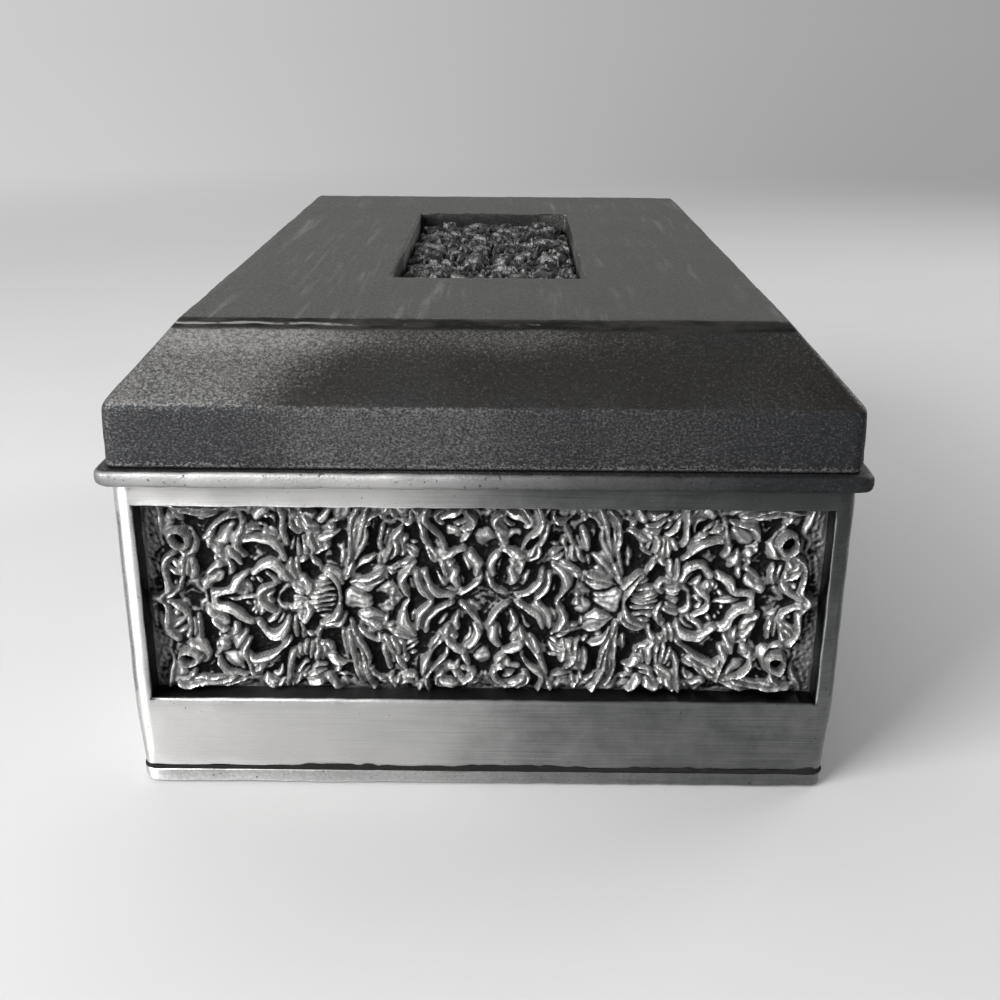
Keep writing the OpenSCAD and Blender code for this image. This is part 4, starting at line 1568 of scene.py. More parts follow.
@dataclass
class ReliefPanel:
    """A cast relief panel, modelled as a field of heights over its plate.

    The draft is read a little astray, so that no two panels are alike, and the casting's grain
    lies in the hollows.
    """

    node: str
    turn: np.ndarray
    body: Body
    slot: str
    seed: int
    cell: float
    tall: float = 2.3
    plate: float = 1.4
    lap: float = 0.7
    margin: float = 0.35
    stray: float = 0.13
    grain: float = 0.035
    cast_soft: float = 0.085
    crest_soft: float = 0.36
    hollow_soft: float = 0.9

    def local_box(self) -> tuple[np.ndarray, np.ndarray]:
        """Reads the node's box.

        Returns:
            Its corners in the panel's own frame: along, up and out.
        """
        low, high = node_box(self.node)
        ends = np.stack((low @ self.turn, high @ self.turn))
        return ends.min(axis=0), ends.max(axis=0)

    def rosette(self, reach: float, rise: float) -> tuple[Stroke, ...]:
        """Draws the flower in the middle of a long panel.

        Args:
            reach: Half the length that it may fill.
            rise: Half the height that it may fill.

        Returns:
            Its strands.
        """
        strands = [Stroke(((0.0, 0.0),), (1.0 * rise,) * 3, (0.35,) * 3, Profile.SLAB)]
        for i in range(8):
            turn = math.radians(45 * i)
            way = (math.cos(turn), math.sin(turn))
            near, middle, far = (tuple(rise * s * w for w in way) for s in (0.24, 0.42, 0.62))
            wide = (0.1 * rise, 0.3 * rise, 0.2 * rise)
            narrow = (0.06 * rise, 0.07 * rise, 0.04 * rise)
            strands.append(Stroke((near, middle, far), wide, (0.7, 0.95, 0.7), RIMMED))
            strands.append(Stroke((near, far), narrow, (0.8, 0.95, 0.7)))
        ring = round_path((0.0, 0.0), 0.2 * rise)
        strands.append(Stroke(ring, (0.13 * rise,) * 3, (1.0,) * 3))
        strands.append(Stroke(((0.0, 0.0),), (0.2 * rise,) * 3, (0.85,) * 3))
        for side in (-1, 1):
            for up in (-1, 1):
                leaf = ((0.35, 0.9), (0.6, 0.84), (0.8, 0.62), (0.9, 0.3))
                path = tuple((side * x * 0.62 * reach, up * y * rise) for x, y in leaf)
                strands.append(Stroke(path, (0.6, 1.7, 0.8), (0.6, 0.85, 0.6), RIMMED))
        return tuple(strands)

    def strayed(self, spots: np.ndarray, number: int) -> np.ndarray:
        """Finds how far astray the draft is read.

        Args:
            spots: Places by 3.
            number: 0 for along, 1 for up.

        Returns:
            Distances in millimetres.
        """
        slow = Waves(self.seed + number, 4.0).at(spots)
        return self.stray * (slow + 0.4 * Waves(self.seed + 4 + number, 1.4).at(spots))

    def heights(self, u: np.ndarray, v: np.ndarray, half: Pair) -> np.ndarray:
        """Models the panel.

        Args:
            u: Places along, one to a column.
            v: Places up, one to a row.
            half: Half the window's length and height.

        Returns:
            Heights in millimetres over the panel's ground.
        """
        across, up = np.meshgrid(u, v)
        spots = np.stack((across, up, np.full_like(up, 7.0 * self.seed)), axis=-1)
        half_design = min(half[0], DRAFT[0])
        shift = half[0] - half_design
        outward = np.abs(across + self.strayed(spots, 0))
        upward = np.abs(up + self.strayed(spots, 1))
        places = np.abs(outward - shift) * DRAFT[0] / half_design
        field = Draft.read(places, upward * DRAFT[1] / half[1])
        if shift > 1:
            for stroke in self.rosette(shift, half[1]):
                stroke.carve(field, u, v)
        swell = Waves(self.seed + 2, 3.2).at(spots)
        field = field ** (1.3 + 0.4 * swell.clip(-1, 1))
        grain = Waves(self.seed + 3, 0.55, 40).at(spots)
        field = field + self.grain * grain * np.exp(-field * 4)
        inside = np.minimum(half[0] - np.abs(across), half[1] - np.abs(up))
        field = softened(field, self.cast_soft / self.cell)
        return self.tall * field * (inside / self.margin).clip(0, 1)

    def build(self) -> bpy.types.Object:
        """Makes the panel and dresses it.

        Returns:
            The piece.
        """
        low, high = self.local_box()
        middle = (low + high) / 2
        reach = (high - low) / 2
        ground = low[2] + self.plate
        half = drawn_in(reach, self.lap)
        u = span(-reach[0], reach[0], self.cell)
        v = span(-reach[1], reach[1], self.cell)
        field = self.heights(u, v, half)
        share = field / self.tall
        over = field - softened(field, self.crest_soft / self.cell)
        under = softened(field, self.hollow_soft / self.cell) - field
        marks = {
            "high": share.clip(0, 1),
            "crest": (over / 0.15).clip(0, 1),
            "hollow": (under / 0.5 + 0.26 * (1 - share) ** 2 - 0.08).clip(0, 1),
        }
        across, up = np.meshgrid(np.pad(u, 1, mode="edge"), np.pad(v, 1, mode="edge"))
        out = np.pad(field, 1, constant_values=-self.plate)
        local = np.stack((across + middle[0], up + middle[1], out + ground), axis=-1)
        grid = local @ self.turn.T
        skin = Skin()
        skin.add_grid(grid)
        rim = np.concatenate((grid[1:-1, 0], grid[-1, 1:-1], grid[-2:0:-1, -1], grid[0, -2:0:-1]))
        skin.add_cap(rim)
        piece = skin.build(self.node + "_ornament", sharp=75, outward=False)
        for name, values in marks.items():
            padded = np.pad(values, 1, mode="edge").ravel()
            set_values(piece, name, np.concatenate((padded, np.zeros(len(rim)))))
        finish = PatinatedRelief("patinated_relief_" + self.body.value, *self.tones())
        adopt(piece, self.body, finish, self.slot, self.node)
        return piece

    def tones(self) -> Color:
        """Returns the lightness of hollows, slopes and crests, and the dullness."""
        return LID_TONES if self.body is Body.LID else WALL_TONES


@dataclass
class BodyFrame:
    """The cast body: four walls in one piece with a window in each."""

    corner: float = 1.8
    inner_corner: float = 0.3
    wall: float = 4.4
    recess: float = 3.0
    seat: float = 0.8
    lap: float = 0.7
    draw_in: float = 0.45
    ease: float = 0.28
    step: float = 1.3

    def window(self, wall: Wall) -> tuple[float, float, float]:
        """Reads a wall's window.

        Args:
            wall: The wall.

        Returns:
            Half its width, its bottom and its top.
        """
        low, high = node_box(wall.word + "_relief")
        axis = 1 if wall.is_long else 0
        return high[axis] - self.lap, low[2] + self.lap, high[2] - self.lap

    def frame_loop(
        self, wide: np.ndarray, rise: np.ndarray, depth: float, face: float, wall: Wall
    ) -> np.ndarray:
        """Lays a rectangle of points in a wall.

        Args:
            wide: Its places along the wall.
            rise: Its heights.
            depth: How far it lies behind the face.
            face: The distance from the box's middle to the face.
            wall: The wall.

        Returns:
            Points by 3, against the clock seen from outside.
        """
        bottom = np.column_stack((wide[:-1], np.full(len(wide) - 1, rise[0])))
        right = np.column_stack((np.full(len(rise) - 1, wide[-1]), rise[:-1]))
        top = np.column_stack((wide[:0:-1], np.full(len(wide) - 1, rise[-1])))
        left = np.column_stack((np.full(len(rise) - 1, wide[0]), rise[:0:-1]))
        flat = np.concatenate((bottom, right, top, left))
        loop = np.column_stack((flat[:, 0], np.full(len(flat), depth - face), flat[:, 1]))
        return loop @ wall.matrix().T

    def build(self) -> bpy.types.Object:
        """Makes the body and dresses it.

        Returns:
            The piece.
        """
        low, high = node_box("body_frame")
        half = (high[0], high[1])
        reach = drawn_in(half, self.corner)
        inner = drawn_in(half, self.wall)
        short, bottom, top = self.window(Wall.FRONT)
        long = self.window(Wall.RIGHT)[0]
        stops = [(open_half + self.ease) / r for open_half, r in zip((short, long), reach)]
        across, along = (through((-1, -s, s, 1), self.step / r) for s, r in zip(stops, reach))
        sill, head = bottom - self.ease, top + self.ease
        rows = [(inner, self.inner_corner, low[2])]
        edge = eased(self.ease, np.radians(np.linspace(0, 90, 5)))
        foot = [(self.draw_in + left, low[2] + come) for left, come in edge]
        walls = through((low[2] + self.ease, sill, head, high[2] - self.ease), self.step)
        drawn = [(self.draw_in * max(0.0, (sill - z) / (sill - low[2])), z) for z in walls]
        rim = [(come, high[2] - left) for left, come in edge]
        for inset, z in foot[:-1] + drawn + rim[1:]:
            rows.append((drawn_in(half, inset), self.corner - inset, z))
        rebate = (bottom - self.seat, top + self.seat)
        for z in through((high[2], rebate[1], rebate[0], low[2]), 4.0):
            rows.append((inner, self.inner_corner, z))
        grid = stacked(rows, across, along, 7)
        keep = self.kept_cells(grid, (short, long), (sill, head), rebate, inner)
        skin = Skin()
        skin.add_grid(grid, wrap=True, keep=keep)
        for wall in Wall:
            self.add_window(skin, wall, along if wall.is_long else across, walls, half)
        piece = skin.build("cast_body")
        mark_edges(piece)
        # painted shade: the window reveals are marked to be painted dark, for patina in the recesses and for
        # shade where a reveal lies in shadow
        points = np.abs(points_of(piece))
        depth = np.minimum(half[0] - points[:, 0], half[1] - points[:, 1])
        beside = (points[:, 2] > bottom - 0.1) & (points[:, 2] < top + 0.1)
        set_values(piece, "sunk", depth.clip(0, 1) * beside)
        mark_shade_and_age(piece)
        dent(piece, Waves(11, 9.0), 0.05)
        dent(piece, Waves(12, 2.2), 0.14, "edge")
        adopt(piece, Body.BOX, BrushedMetal("brushed_metal"), "satin_cast_metal", "body_frame")
        return piece

    def kept_cells(
        self, grid: np.ndarray, open_half: Pair, rows: Pair, rebate: Pair, inner: Pair
    ) -> np.ndarray:
        """Finds the cells of the skin that stay closed.

        Args:
            grid: The skin's loops.
            open_half: Half the widths of the short and the long windows.
            rows: Where the outer skin opens and closes again.
            rebate: The same for the inner skin.
            inner: Half the sizes of the space inside.

        Returns:
            Rows less one by columns, False where a window opens the skin.
        """
        after = np.roll(grid, -1, axis=1)
        middle = (grid[:-1] + grid[1:] + after[:-1] + after[1:]) / 4
        x, y, z = np.abs(middle[..., 0]), np.abs(middle[..., 1]), middle[..., 2]
        inside = (x < inner[0] + 0.1) & (y < inner[1] + 0.1)
        end_face = ~inside & (y > inner[1] + 1) & (x < open_half[0] + self.ease)
        side_face = ~inside & (x > inner[0] + 1) & (y < open_half[1] + self.ease)
        outer = (end_face | side_face) & (z > rows[0]) & (z < rows[1])
        return ~(outer | (inside & (z > rebate[0]) & (z < rebate[1])))

    def add_window(
        self, skin: Skin, wall: Wall, places: np.ndarray, walls: np.ndarray, half: Pair
    ) -> None:
        """Adds a window's reveals and the seat of its panel.

        Args:
            skin: The body's skin.
            wall: The wall.
            places: Places along the wall, as shares of its straight part.
            walls: The heights of the skin's rows.
            half: Half the body's width and length.
        """
        open_half, bottom, top = self.window(wall)
        face, side = (half[0], half[1]) if wall.is_long else (half[1], half[0])
        straight = places * (side - self.corner)
        wide = straight[np.abs(straight) < open_half + self.ease + NEAR]
        rise = walls[(walls > bottom - self.ease - NEAR) & (walls < top + self.ease + NEAR)]
        middle = (bottom + top) / 2
        sections = eased(self.ease, np.radians((0, 30, 60, 90)))
        sections += [(0.0, d) for d in span(self.ease, self.recess, 0.7)[1:]]
        sections += [(self.seat, self.recess), (self.seat, self.wall)]
        loops = []
        for out, depth in sections:
            across = wide * (open_half + out) / (open_half + self.ease)
            up = middle + (rise - middle) * (top - middle + out) / (top - middle + self.ease)
            loops.append(self.frame_loop(across, up, depth, face, wall))
        skin.add_grid(np.stack(loops), wrap=True)


@dataclass
class BasePlate:
    """The plate under the body, with the step that locates it and a recess for the felt."""

    corner: float = 1.8
    inner_corner: float = 0.3
    step_half: Pair = (33.35, 52.15)
    edge: float = 1.6
    ease: float = 0.3
    lap: float = 0.1

    def build(self) -> bpy.types.Object:
        """Makes the plate and dresses it.

        Returns:
            The piece.
        """
        low, high = node_box("base_plate")
        felt_high = node_box("base_felt")[1]
        half = (high[0], high[1])
        recess = (felt_high[0] + self.lap, felt_high[1] + self.lap)
        seat = low[2] + self.edge
        across, along = both_ways(half, 1.5)
        arc = np.radians(np.linspace(0, 90, 5))
        rows = [(self.step_half, self.inner_corner, z) for z in (high[2], seat)]
        for left, come in eased(0.5 * self.ease, arc):
            rows.append((drawn_in(half, left), self.corner, seat - come))
        for left, come in eased(self.ease, arc):
            rows.append((drawn_in(half, come), self.corner, low[2] + left))
        rows += [(recess, self.inner_corner, z) for z in (low[2], felt_high[2])]
        skin = Skin()
        skin.add_barrel(stacked(rows, across, along, 7))
        piece = skin.build("foot_plate")
        mark_edges(piece)
        set_values(piece, "sunk", np.zeros(len(piece.data.vertices)))
        mark_shade_and_age(piece)
        dent(piece, Waves(21, 7.0), 0.06)
        dent(piece, Waves(22, 2.0), 0.12, "edge")
        finish = BrushedMetal("brushed_metal_foot", 0.42, 0.1, 0.44, 0.2)
        adopt(piece, Body.BOX, finish, "satin_cast_metal", "base_plate")
        return piece


@dataclass
class SeamFiller:
    """The black filler in the joint between body and base, pressed out unevenly."""

    body_half: Pair = (37.45, 56.25)
    corner: float = 1.35
    smear: float = 0.42

    def build(self) -> bpy.types.Object:
        """Makes the filler and dresses it.

        Returns:
            The piece.
        """
        low, high = node_box("seam_filler")
        across, along = both_ways(self.body_half, 0.5)
        face = rounded_loop(self.body_half, self.corner, across, along, 6)
        back = rounded_loop(drawn_in(self.body_half, 2), 0.3, across, along, 6)
        out = face / np.linalg.norm(face, axis=1, keepdims=True)
        spots = at_height(face, 0.0)
        broad = Waves(31, 16.0).at(spots)
        fine = Waves(32, 2.4).at(spots)
        rise = (0.35 + 0.5 * broad + 0.35 * fine).clip(0.05, 1) * self.smear
        squeeze = 0.05 + 0.05 * (0.5 + 0.5 * fine).clip(0, 1)
        lip = face + out * (0.02 + 0.5 * squeeze[:, None])
        foot = face + out * (0.06 + squeeze[:, None])
        loops = (
            at_height(back, low[2]),
            at_height(foot, low[2] + 0.02),
            at_height(foot, low[2] + 0.12 + 0.3 * rise),
            at_height(lip, high[2] + rise),
            at_height(face - out * 0.03, high[2] + rise + 0.03),
            at_height(back, high[2]),
        )
        skin = Skin()
        skin.add_grid(np.stack(loops + loops[:1]), wrap=True)
        piece = skin.build("joint_filler", sharp=60)
        adopt(piece, Body.BOX, BlackFiller("black_filler"), "dark_filler", "seam_filler")
        return piece


@dataclass
class FootFelt:
    """The felt under the base plate."""

    ease: float = 0.2
    corner: float = 0.8

    def build(self) -> bpy.types.Object:
        """Makes the felt and dresses it.

        Returns:
            The piece.
        """
        low, high = node_box("base_felt")
        across, along = both_ways(high, 3)
        section = ((12.0, low[2] + 0.02), (self.ease, low[2]), (0, low[2] + self.ease), (0, high[2]))
        rows = [(drawn_in(high, inset), self.corner, z) for inset, z in section]
        skin = Skin()
        skin.add_barrel(stacked(rows, across, along, 4))
        piece = skin.build("foot_felt", sharp=60)
        adopt(piece, Body.BOX, Felt("pressed_felt"), "felt", "base_felt")
        return piece


@dataclass
class LidShell:
    """The cast lid: flat top with a window, bevels, band, half-round moulding and its hollow."""

    moulding_out: float = 1.07
    moulding_high: float = 1.8
    moulding_corner: float = 1.7
    nose_powers: Pair = (0.55, 0.7)
    band_flare: float = 0.16
    band_high: float = 6.4
    bevel: Pair = (7.1, 7.5)
    corner: float = 1.2
    wall: float = 4.1
    roof: float = 4.4
    recess: float = 3.0
    seat: float = 0.8
    lap: float = 0.7
    ease: float = 0.3
    step: float = 1.1

    def rows(self) -> list[tuple[Pair, float, float]]:
        """Draws the lid's section right round, as half sizes, plan radius and height of each loop.

        Returns:
            The rows, from the window's edge over the outside and back through the hollow.
        """
        low, high = node_box("lid_shell")
        panel = node_box("lid_relief")[1]
        window = drawn_in(panel, self.lap)
        foot = drawn_in(high, self.moulding_out)
        band = low[2] + self.moulding_high
        crease = band + self.band_high
        nose = self.moulding_high / 2
        top = self.band_flare + self.bevel[0]
        flat = drawn_in(foot, top)
        ease = self.ease
        rim = 1.2
        rows = []
        for share in span(0, 1, 0.08):
            size = tuple(w + ease + share * (f - rim - w - ease) for w, f in zip(window, flat))
            rows.append((size, 0.3, high[2]))
        turns = [
            Turn(top + rim, high[2], 0, 0.3),
            Turn(top, high[2], 0.45, 0.4),
            Turn(self.band_flare, crease, 0.55, self.corner),
            Turn(0.02, band + 0.22, 0.15, self.corner),
            Turn(0.2, band + 0.02, 0.0, self.corner),
            Turn(nose - self.moulding_out + 0.05, band - 0.02, 0.1, self.moulding_corner - nose),
        ]
        section = [tuple(row) for row in moulded(turns, self.step)[1:]]
        centre = nose - self.moulding_out
        for a in np.radians(range(15, 181, 15)):
            out = nose * max(math.sin(a), 0.0) ** self.nose_powers[0]
            up = nose * math.copysign(abs(math.cos(a)) ** self.nose_powers[1], math.cos(a))
            section.append((centre - out, band - nose + up, self.moulding_corner - nose + out))
        rows += [(drawn_in(foot, i), max(r, 0.25), z) for i, z, r in section]
        inner = self.band_flare + self.wall
        ceiling = high[2] - self.roof
        slope = (ceiling - crease) * self.bevel[0] / self.bevel[1]
        for inset, z in ((inner, low[2]), (inner, crease), (inner + slope, ceiling)):
            rows.append((drawn_in(foot, inset), 0.5, z))
        seat = tuple(w + self.seat for w in window)
        ledge = high[2] - self.recess
        rows += [(seat, 0.2, ceiling), (seat, 0.2, ledge)]
        rows += [(window, 0.2, z) for z in span(ledge, high[2] - ease, 0.7)]
        for a in np.radians((30, 60, 90)):
            out = ease * (1 - math.cos(a))
            rows.append(((window[0] + out, window[1] + out), 0.25, high[2] - ease + ease * math.sin(a)))
        return rows

    def build(self) -> bpy.types.Object:
        """Makes the lid and dresses it.

        Returns:
            The piece.
        """
        across, along = both_ways((38, 57), self.step)
        skin = Skin()
        skin.add_grid(stacked(self.rows(), across, along, 6), wrap=True)
        piece = skin.build("cast_lid")
        mark_edges(piece)
        self.mark_wear(piece)
        dent(piece, Waves(41, 11.0), 0.06)
        dent(piece, Waves(42, 2.5), 0.16, "edge")
        adopt(piece, Body.LID, DarkCast("dark_cast"), "dark_cast_metal", "lid_shell")
        return piece

    def mark_wear(self, piece: bpy.types.Object) -> None:
        """Stores the lid's wear, with its painted light and shade, at its points.

        Args:
            piece: The lid. It gains the attributes rubbed, for the moulding's bare metal, painted
            brighter toward the left as painted light; hem_wear_and_highlight, for the worn line along
            the band's foot with its painted highlight; flat, for its top; sloped, for the silver in
            the speckle of bevels and band; and rise, the way up the bevels from 0 to 1, which places
            the brow's painted shade and highlight.
        """
        low, high = node_box("lid_shell")
        points = points_of(piece)
        across, along = np.abs(points[:, 0]), np.abs(points[:, 1])
        height = points[:, 2]
        band = low[2] + self.moulding_high
        beyond = np.maximum(across / high[0], along / high[1])
        corner = np.hypot(across - high[0], along - high[1])
        blotch = 0.5 + 0.5 * Waves(43, 5.0).at(points).clip(-1, 1)
        # painted light: the moulding's bare metal is painted brighter toward the left, as if lit from there,
        # on top of its real wear
        rubbed = (1.08 - 1.08 * shade_and_age_at(points)) * (0.85 + 0.15 * blotch)
        rubbed -= 0.5 * np.exp(-((corner / 3.0) ** 2))
        moulding = (height < band - 0.05) & (beyond > 0.9)
        set_values(piece, "rubbed", rubbed.clip(0) * moulding)
        # painted highlight: a bright line along the band's foot, where its rounded edge catches the light,
        # laid on as worn metal
        hem_wear_and_highlight = np.exp(-(((height - band - 0.3) / 1.1) ** 2))
        set_values(piece, "hem_wear_and_highlight", hem_wear_and_highlight * (height > band))
        set_values(piece, "flat", height > high[2] - 0.12)
        rise = (height - band - self.band_high) / self.bevel[1]
        patches, crown_marks, band_marks = (
            0.5 + 0.5 * drift(points, *marks).clip(-1, 1)
            for marks in (BEVEL_MARKS, CROWN_MARKS, BAND_MARKS)
        )
        crown = 0.28 * crown_marks * np.exp(-(((rise - 0.76) / 0.16) ** 2))
        sloped = np.where(rise > 0, 0.08 + 0.45 * patches + crown, 0.13 + 0.26 * band_marks)
        speckled = (height < high[2] - 0.05) & (height > band - 0.05)
        set_values(piece, "sloped", sloped * speckled)
        inside, well_over = 0.72, 2.0
        set_values(piece, "rise", np.where(beyond > inside, rise, well_over))


@dataclass
class LiningBoard:
    """A board covered in velvet that lines one wall and stands up past the rim."""

    wall: Wall
    slack: float = 0.03
    foot: float = 0.2
    end: float = 0.4
    end_draw: float = 0.25
    step: float = 1.6
    seed: int = 51

    def build(self) -> bpy.types.Object:
        """Makes the board and dresses it.

        Returns:
            The piece.
        """
        node = self.wall.word + "_lining"
        low, high = node_box(node)
        turn = self.wall.matrix()
        ends = np.stack((low @ turn, high @ turn))
        low, high = ends.min(axis=0) + self.slack, ends.max(axis=0) - self.slack
        half = (high[1] - low[1]) / 2
        middle = (high[1] + low[1]) / 2
        arc = np.radians(np.linspace(0, 180, 9))
        shoulder = high[2] - half
        side = [(half, z) for z in span(low[2] + self.foot, shoulder, self.step)[:-1]]
        crown = [(half * math.cos(a), shoulder + half * math.sin(a)) for a in arc]
        other = [(-half, z) for z in span(shoulder, low[2] + self.foot, self.step)[1:]]
        feet = [(-half + self.foot, low[2]), (half - self.foot, low[2])]
        section = np.array(side + crown + other + feet)
        centre = (low[2] + high[2]) / 2
        stops = (low[0], low[0] + self.end, high[0] - self.end, high[0])
        loops = []
        for place in through(stops, self.step):
            near_end = max(0.0, 1 - min(place - low[0], high[0] - place) / self.end) ** 2
            drawn = section * (1 - self.end_draw * near_end, 1)
            lift = centre + (drawn[:, 1] - centre) * (1 - 0.012 * near_end)
            loops.append(np.column_stack((np.full(len(section), place), middle + drawn[:, 0], lift)))
        grid = np.stack(loops)
        puff = Waves(self.seed + self.wall.value, 7.0).at(grid)
        grid[..., 1] = middle + (grid[..., 1] - middle) * (0.95 + 0.05 * puff.clip(-1, 1))
        skin = Skin()
        skin.add_barrel(grid @ turn.T)
        piece = skin.build(node + "_board", sharp=60)
        adopt(piece, Body.BOX, Velvet("velvet_nap"), "velvet", node)
        return piece


@dataclass
class CrownedPad:
    """A thin padded panel: flat underneath, drawn in at its sides, crowned and a little puckered."""

    node: str
    body: Body
    facing: int
    seed: int
    corner: float = 2.0
    slack: float = 0.05

    def build(self) -> bpy.types.Object:
        """Makes the pad and dresses it.

        Returns:
            The piece.
        """
        low, high = node_box(self.node)
        half = drawn_in(high, self.slack)
        thick = high[2] - low[2] - self.slack
        edge = 0.55 * thick
        across, along = both_ways(half, 1.6)
        levels = [(0.9, 0.0), (0.35, 0.08 * thick), (0.0, 0.3 * thick), (0.12, 0.46 * thick)]
        rows = [(inset, z, 0.0) for inset, z in levels]
        for inset in np.concatenate((np.linspace(0.4, 6, 9), np.linspace(8, 0.93 * half[0], 10))):
            swell = 1 - (1 - inset / half[0]) ** 4
            rows.append((inset, edge + (thick - edge) * (0.15 + 0.85 * swell), 1.0))
        grid = []
        for inset, z, shown in rows:
            corner = max(0.3, self.corner - 0.2 * inset)
            loop = rounded_loop(drawn_in(half, inset), corner, across, along, 5)
            spots = at_height(loop, z)
            pucker = Waves(self.seed, 4.5).at(spots) * math.exp(-inset / 4)
            pucker += 0.6 * Waves(self.seed + 1, 15.0).at(spots)
            height = z - shown * 0.05 * thick * (1 + pucker.clip(-1, 1))
            place = low[2] + height if self.facing > 0 else high[2] - height
            grid.append(at_height(loop, place))
        skin = Skin()
        skin.add_barrel(np.stack(grid))
        piece = skin.build(self.node + "_cushion", sharp=80)
        adopt(piece, self.body, Velvet("velvet_nap"), "velvet", self.node)
        return piece


@dataclass(frozen=True)
class Lamp:
    """A soft square lamp: where it stands and aims, how wide it is, and its power in watts."""

    name: str
    place: Triple
    aim: Triple
    size: float
    power: float

    def build(self) -> None:
        """Adds the lamp."""
        light = bpy.data.lights.new(self.name, "AREA")
        light.shape = "RECTANGLE"
        light.size = self.size * MM
        light.size_y = self.size * MM
        light.energy = self.power
        piece = bpy.data.objects.new(self.name, light)
        piece.location = Vector(self.place) * MM
        toward = Vector(self.aim) - Vector(self.place)
        piece.rotation_euler = toward.to_track_quat("-Z", "Y").to_euler()
        bpy.context.scene.collection.objects.link(piece)


LAMPS = (
    Lamp("key", (-330, -300, 210), (0, 0, 25), 280, 4.2),
    Lamp("over", (-120, 240, 600), (0, 0, 40), 500, 1.1),
    Lamp("fill", (520, 360, 300), (0, 0, 25), 400, 2.2),
)


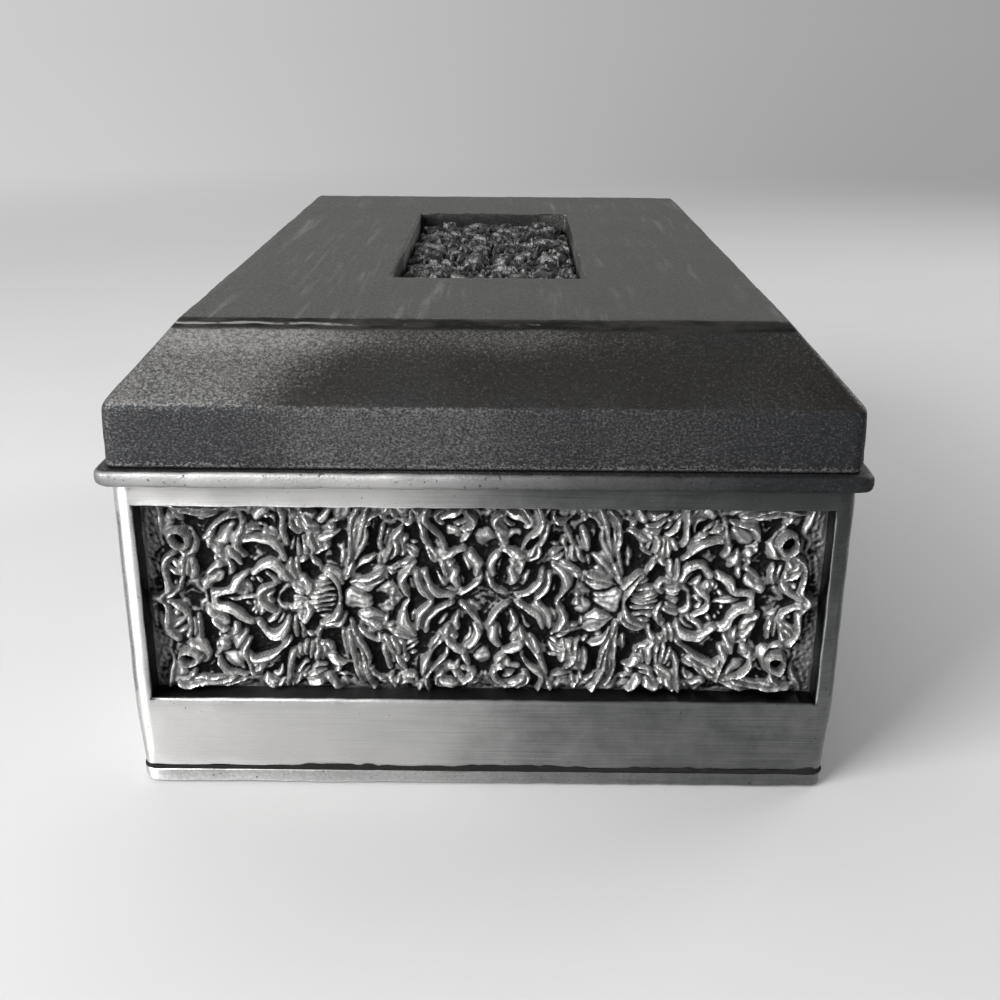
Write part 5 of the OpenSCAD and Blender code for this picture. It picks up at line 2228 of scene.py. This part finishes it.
@dataclass
class Studio:
    """The floor, the lamps, the world and the camera.

    The room's light and the backdrop's tone each change from the left to the right. The floor is
    its own colour near the box and takes the backdrop's tone over the clear distances, in metres.
    """

    floor: float = 0.52
    floor_reach: float = 6000.0
    room: Pair = (0.6, 0.2)
    backdrop: Pair = (0.64, 0.34)
    clear: Pair = (0.2, 0.65)
    lens: float = 44.82
    stand: Triple = (2.24, -174.24, 78.15)
    pitch: float = 20.64
    yaw: float = -0.27
    roll: float = 0.37

    def across(self, recipe: Recipe, direction: Socket, ends: Pair) -> Socket:
        """Reads a lightness that changes from the left of the room to its right.

        Args:
            recipe: The node tree that it is added to.
            direction: A direction from the middle of the room.
            ends: The lightness on the left and on the right.

        Returns:
            The lightness.
        """
        length_one = recipe.node("ShaderNodeVectorMath", operation="NORMALIZE")
        split = recipe.node("ShaderNodeSeparateXYZ")
        recipe.feed(length_one.inputs[0], direction)
        recipe.feed(split.inputs[0], length_one.outputs[0])
        return recipe.window(split.outputs["X"], -0.6, 0.5, *ends)

    def shown(self, recipe: Recipe) -> Socket:
        """Tells the rays that show the backdrop from those that light the box.

        Args:
            recipe: The node tree that it is added to.

        Returns:
            1 for a ray in a view, metal or glass, and 0 for light.
        """
        seen = recipe.node("ShaderNodeLightPath").outputs
        mirrored = recipe.most(seen["Is Glossy Ray"], seen["Is Transmission Ray"])
        return recipe.most(seen["Is Camera Ray"], mirrored)

    def ground(self) -> None:
        """Makes the plain floor, which turns into the backdrop's tone far from the box."""
        skin = Skin()
        ends = (-self.floor_reach, self.floor_reach)
        skin.add_grid(np.array([[(x, y, 0.0) for x in ends] for y in ends]))
        piece = skin.build("floor", sharp=60, outward=False)
        r = Recipe("pale_floor")
        mottle = r.noise(60.0, 3.0, 0.5)
        r.finish(r.mix(mottle, tone(self.floor * 0.96), tone(self.floor * 1.03)), 0.75, 0.0)
        far = r.node("ShaderNodeVectorMath", operation="LENGTH")
        glow = r.node("ShaderNodeEmission")
        blend = r.node("ShaderNodeMixShader")
        r.feed(far.inputs[0], r.place)
        r.feed(glow.inputs["Strength"], self.across(r, r.place, self.backdrop))
        r.feed(blend.inputs[0], r.times(self.shown(r), r.window(far.outputs["Value"], *self.clear)))
        r.feed(blend.inputs[1], r.shader.outputs[0])
        r.feed(blend.inputs[2], glow.outputs[0])
        r.feed(r.tree.nodes["Material Output"].inputs["Surface"], blend.outputs[0])
        piece.data.materials.append(r.material)

    def camera(self) -> None:
        """Stands the camera where the photograph was taken."""
        pitch, yaw, roll = (math.radians(a) for a in (self.pitch, self.yaw, self.roll))
        ahead = Vector((math.sin(yaw), math.cos(yaw), 0))
        right = Vector((math.cos(yaw), -math.sin(yaw), 0))
        up = Vector((0, 0, 1))
        look = ahead * math.cos(pitch) - up * math.sin(pitch)
        above = ahead * math.sin(pitch) + up * math.cos(pitch)
        side = right * math.cos(roll) + above * math.sin(roll)
        over = above * math.cos(roll) - right * math.sin(roll)
        data = bpy.data.cameras.new("camera")
        data.sensor_width = 36.0
        data.lens = self.lens
        data.clip_start = 0.01
        data.clip_end = 20.0
        piece = bpy.data.objects.new("camera", data)
        turn = Matrix((side, over, -look)).transposed().to_4x4()
        piece.matrix_world = Matrix.Translation(Vector(self.stand) * MM) @ turn
        bpy.context.scene.collection.objects.link(piece)
        bpy.context.scene.camera = piece

    def surroundings(self) -> None:
        """Makes the world: a pale room, brighter on the left."""
        r = Recipe("studio", bpy.data.worlds.new("studio"))
        light = self.across(r, r.around, self.room)
        view = self.across(r, r.around, self.backdrop)
        pick = r.node("ShaderNodeMix")
        for place, value in ((0, self.shown(r)), (2, light), (3, view)):
            r.feed(pick.inputs[place], value)
        back = r.tree.nodes["Background"]
        r.feed(back.inputs["Color"], tone(1.0))
        r.feed(back.inputs["Strength"], pick.outputs[0])
        bpy.context.scene.world = r.material

    def build(self) -> None:
        """Sets up the whole studio."""
        self.ground()
        self.camera()
        for lamp in LAMPS:
            lamp.build()
        self.surroundings()
        bpy.context.scene.view_settings.view_transform = "Standard"
        log.info("studio: floor, lamps, world and camera")


# How a panel is turned to stand in the front wall, and to lie in the lid along the box's length
UPRIGHT = np.array(((1, 0, 0), (0, 0, -1), (0, 1, 0)), float)
LYING = np.array(((0, -1, 0), (1, 0, 0), (0, 0, 1)), float)

# The relief meshes' cells, as fine as each panel can have them under the export's limit
SHORT_CELL = 0.135
LONG_CELL = 0.161
LID_CELL = 0.121


def main() -> None:
    """Builds the sub-assemblies in order."""
    logging.basicConfig(level=logging.INFO, format="%(name)s %(message)s")
    BodyFrame().build()
    BasePlate().build()
    SeamFiller().build()
    FootFelt().build()
    for number, wall in enumerate(Wall):
        node = wall.word + "_relief"
        cell = LONG_CELL if wall.is_long else SHORT_CELL
        turn = wall.matrix() @ UPRIGHT
        seed = 60 + 10 * number
        ReliefPanel(node, turn, Body.BOX, "patinated_relief", seed, cell).build()
        LiningBoard(wall).build()
    CrownedPad("floor_pad", Body.BOX, 1, 52).build()
    LidShell().build()
    ReliefPanel("lid_relief", LYING, Body.LID, "dark_relief", 115, LID_CELL).build()
    CrownedPad("lid_lining", Body.LID, -1, 54).build()
    Studio().build()


if __name__ == "__main__":
    main()
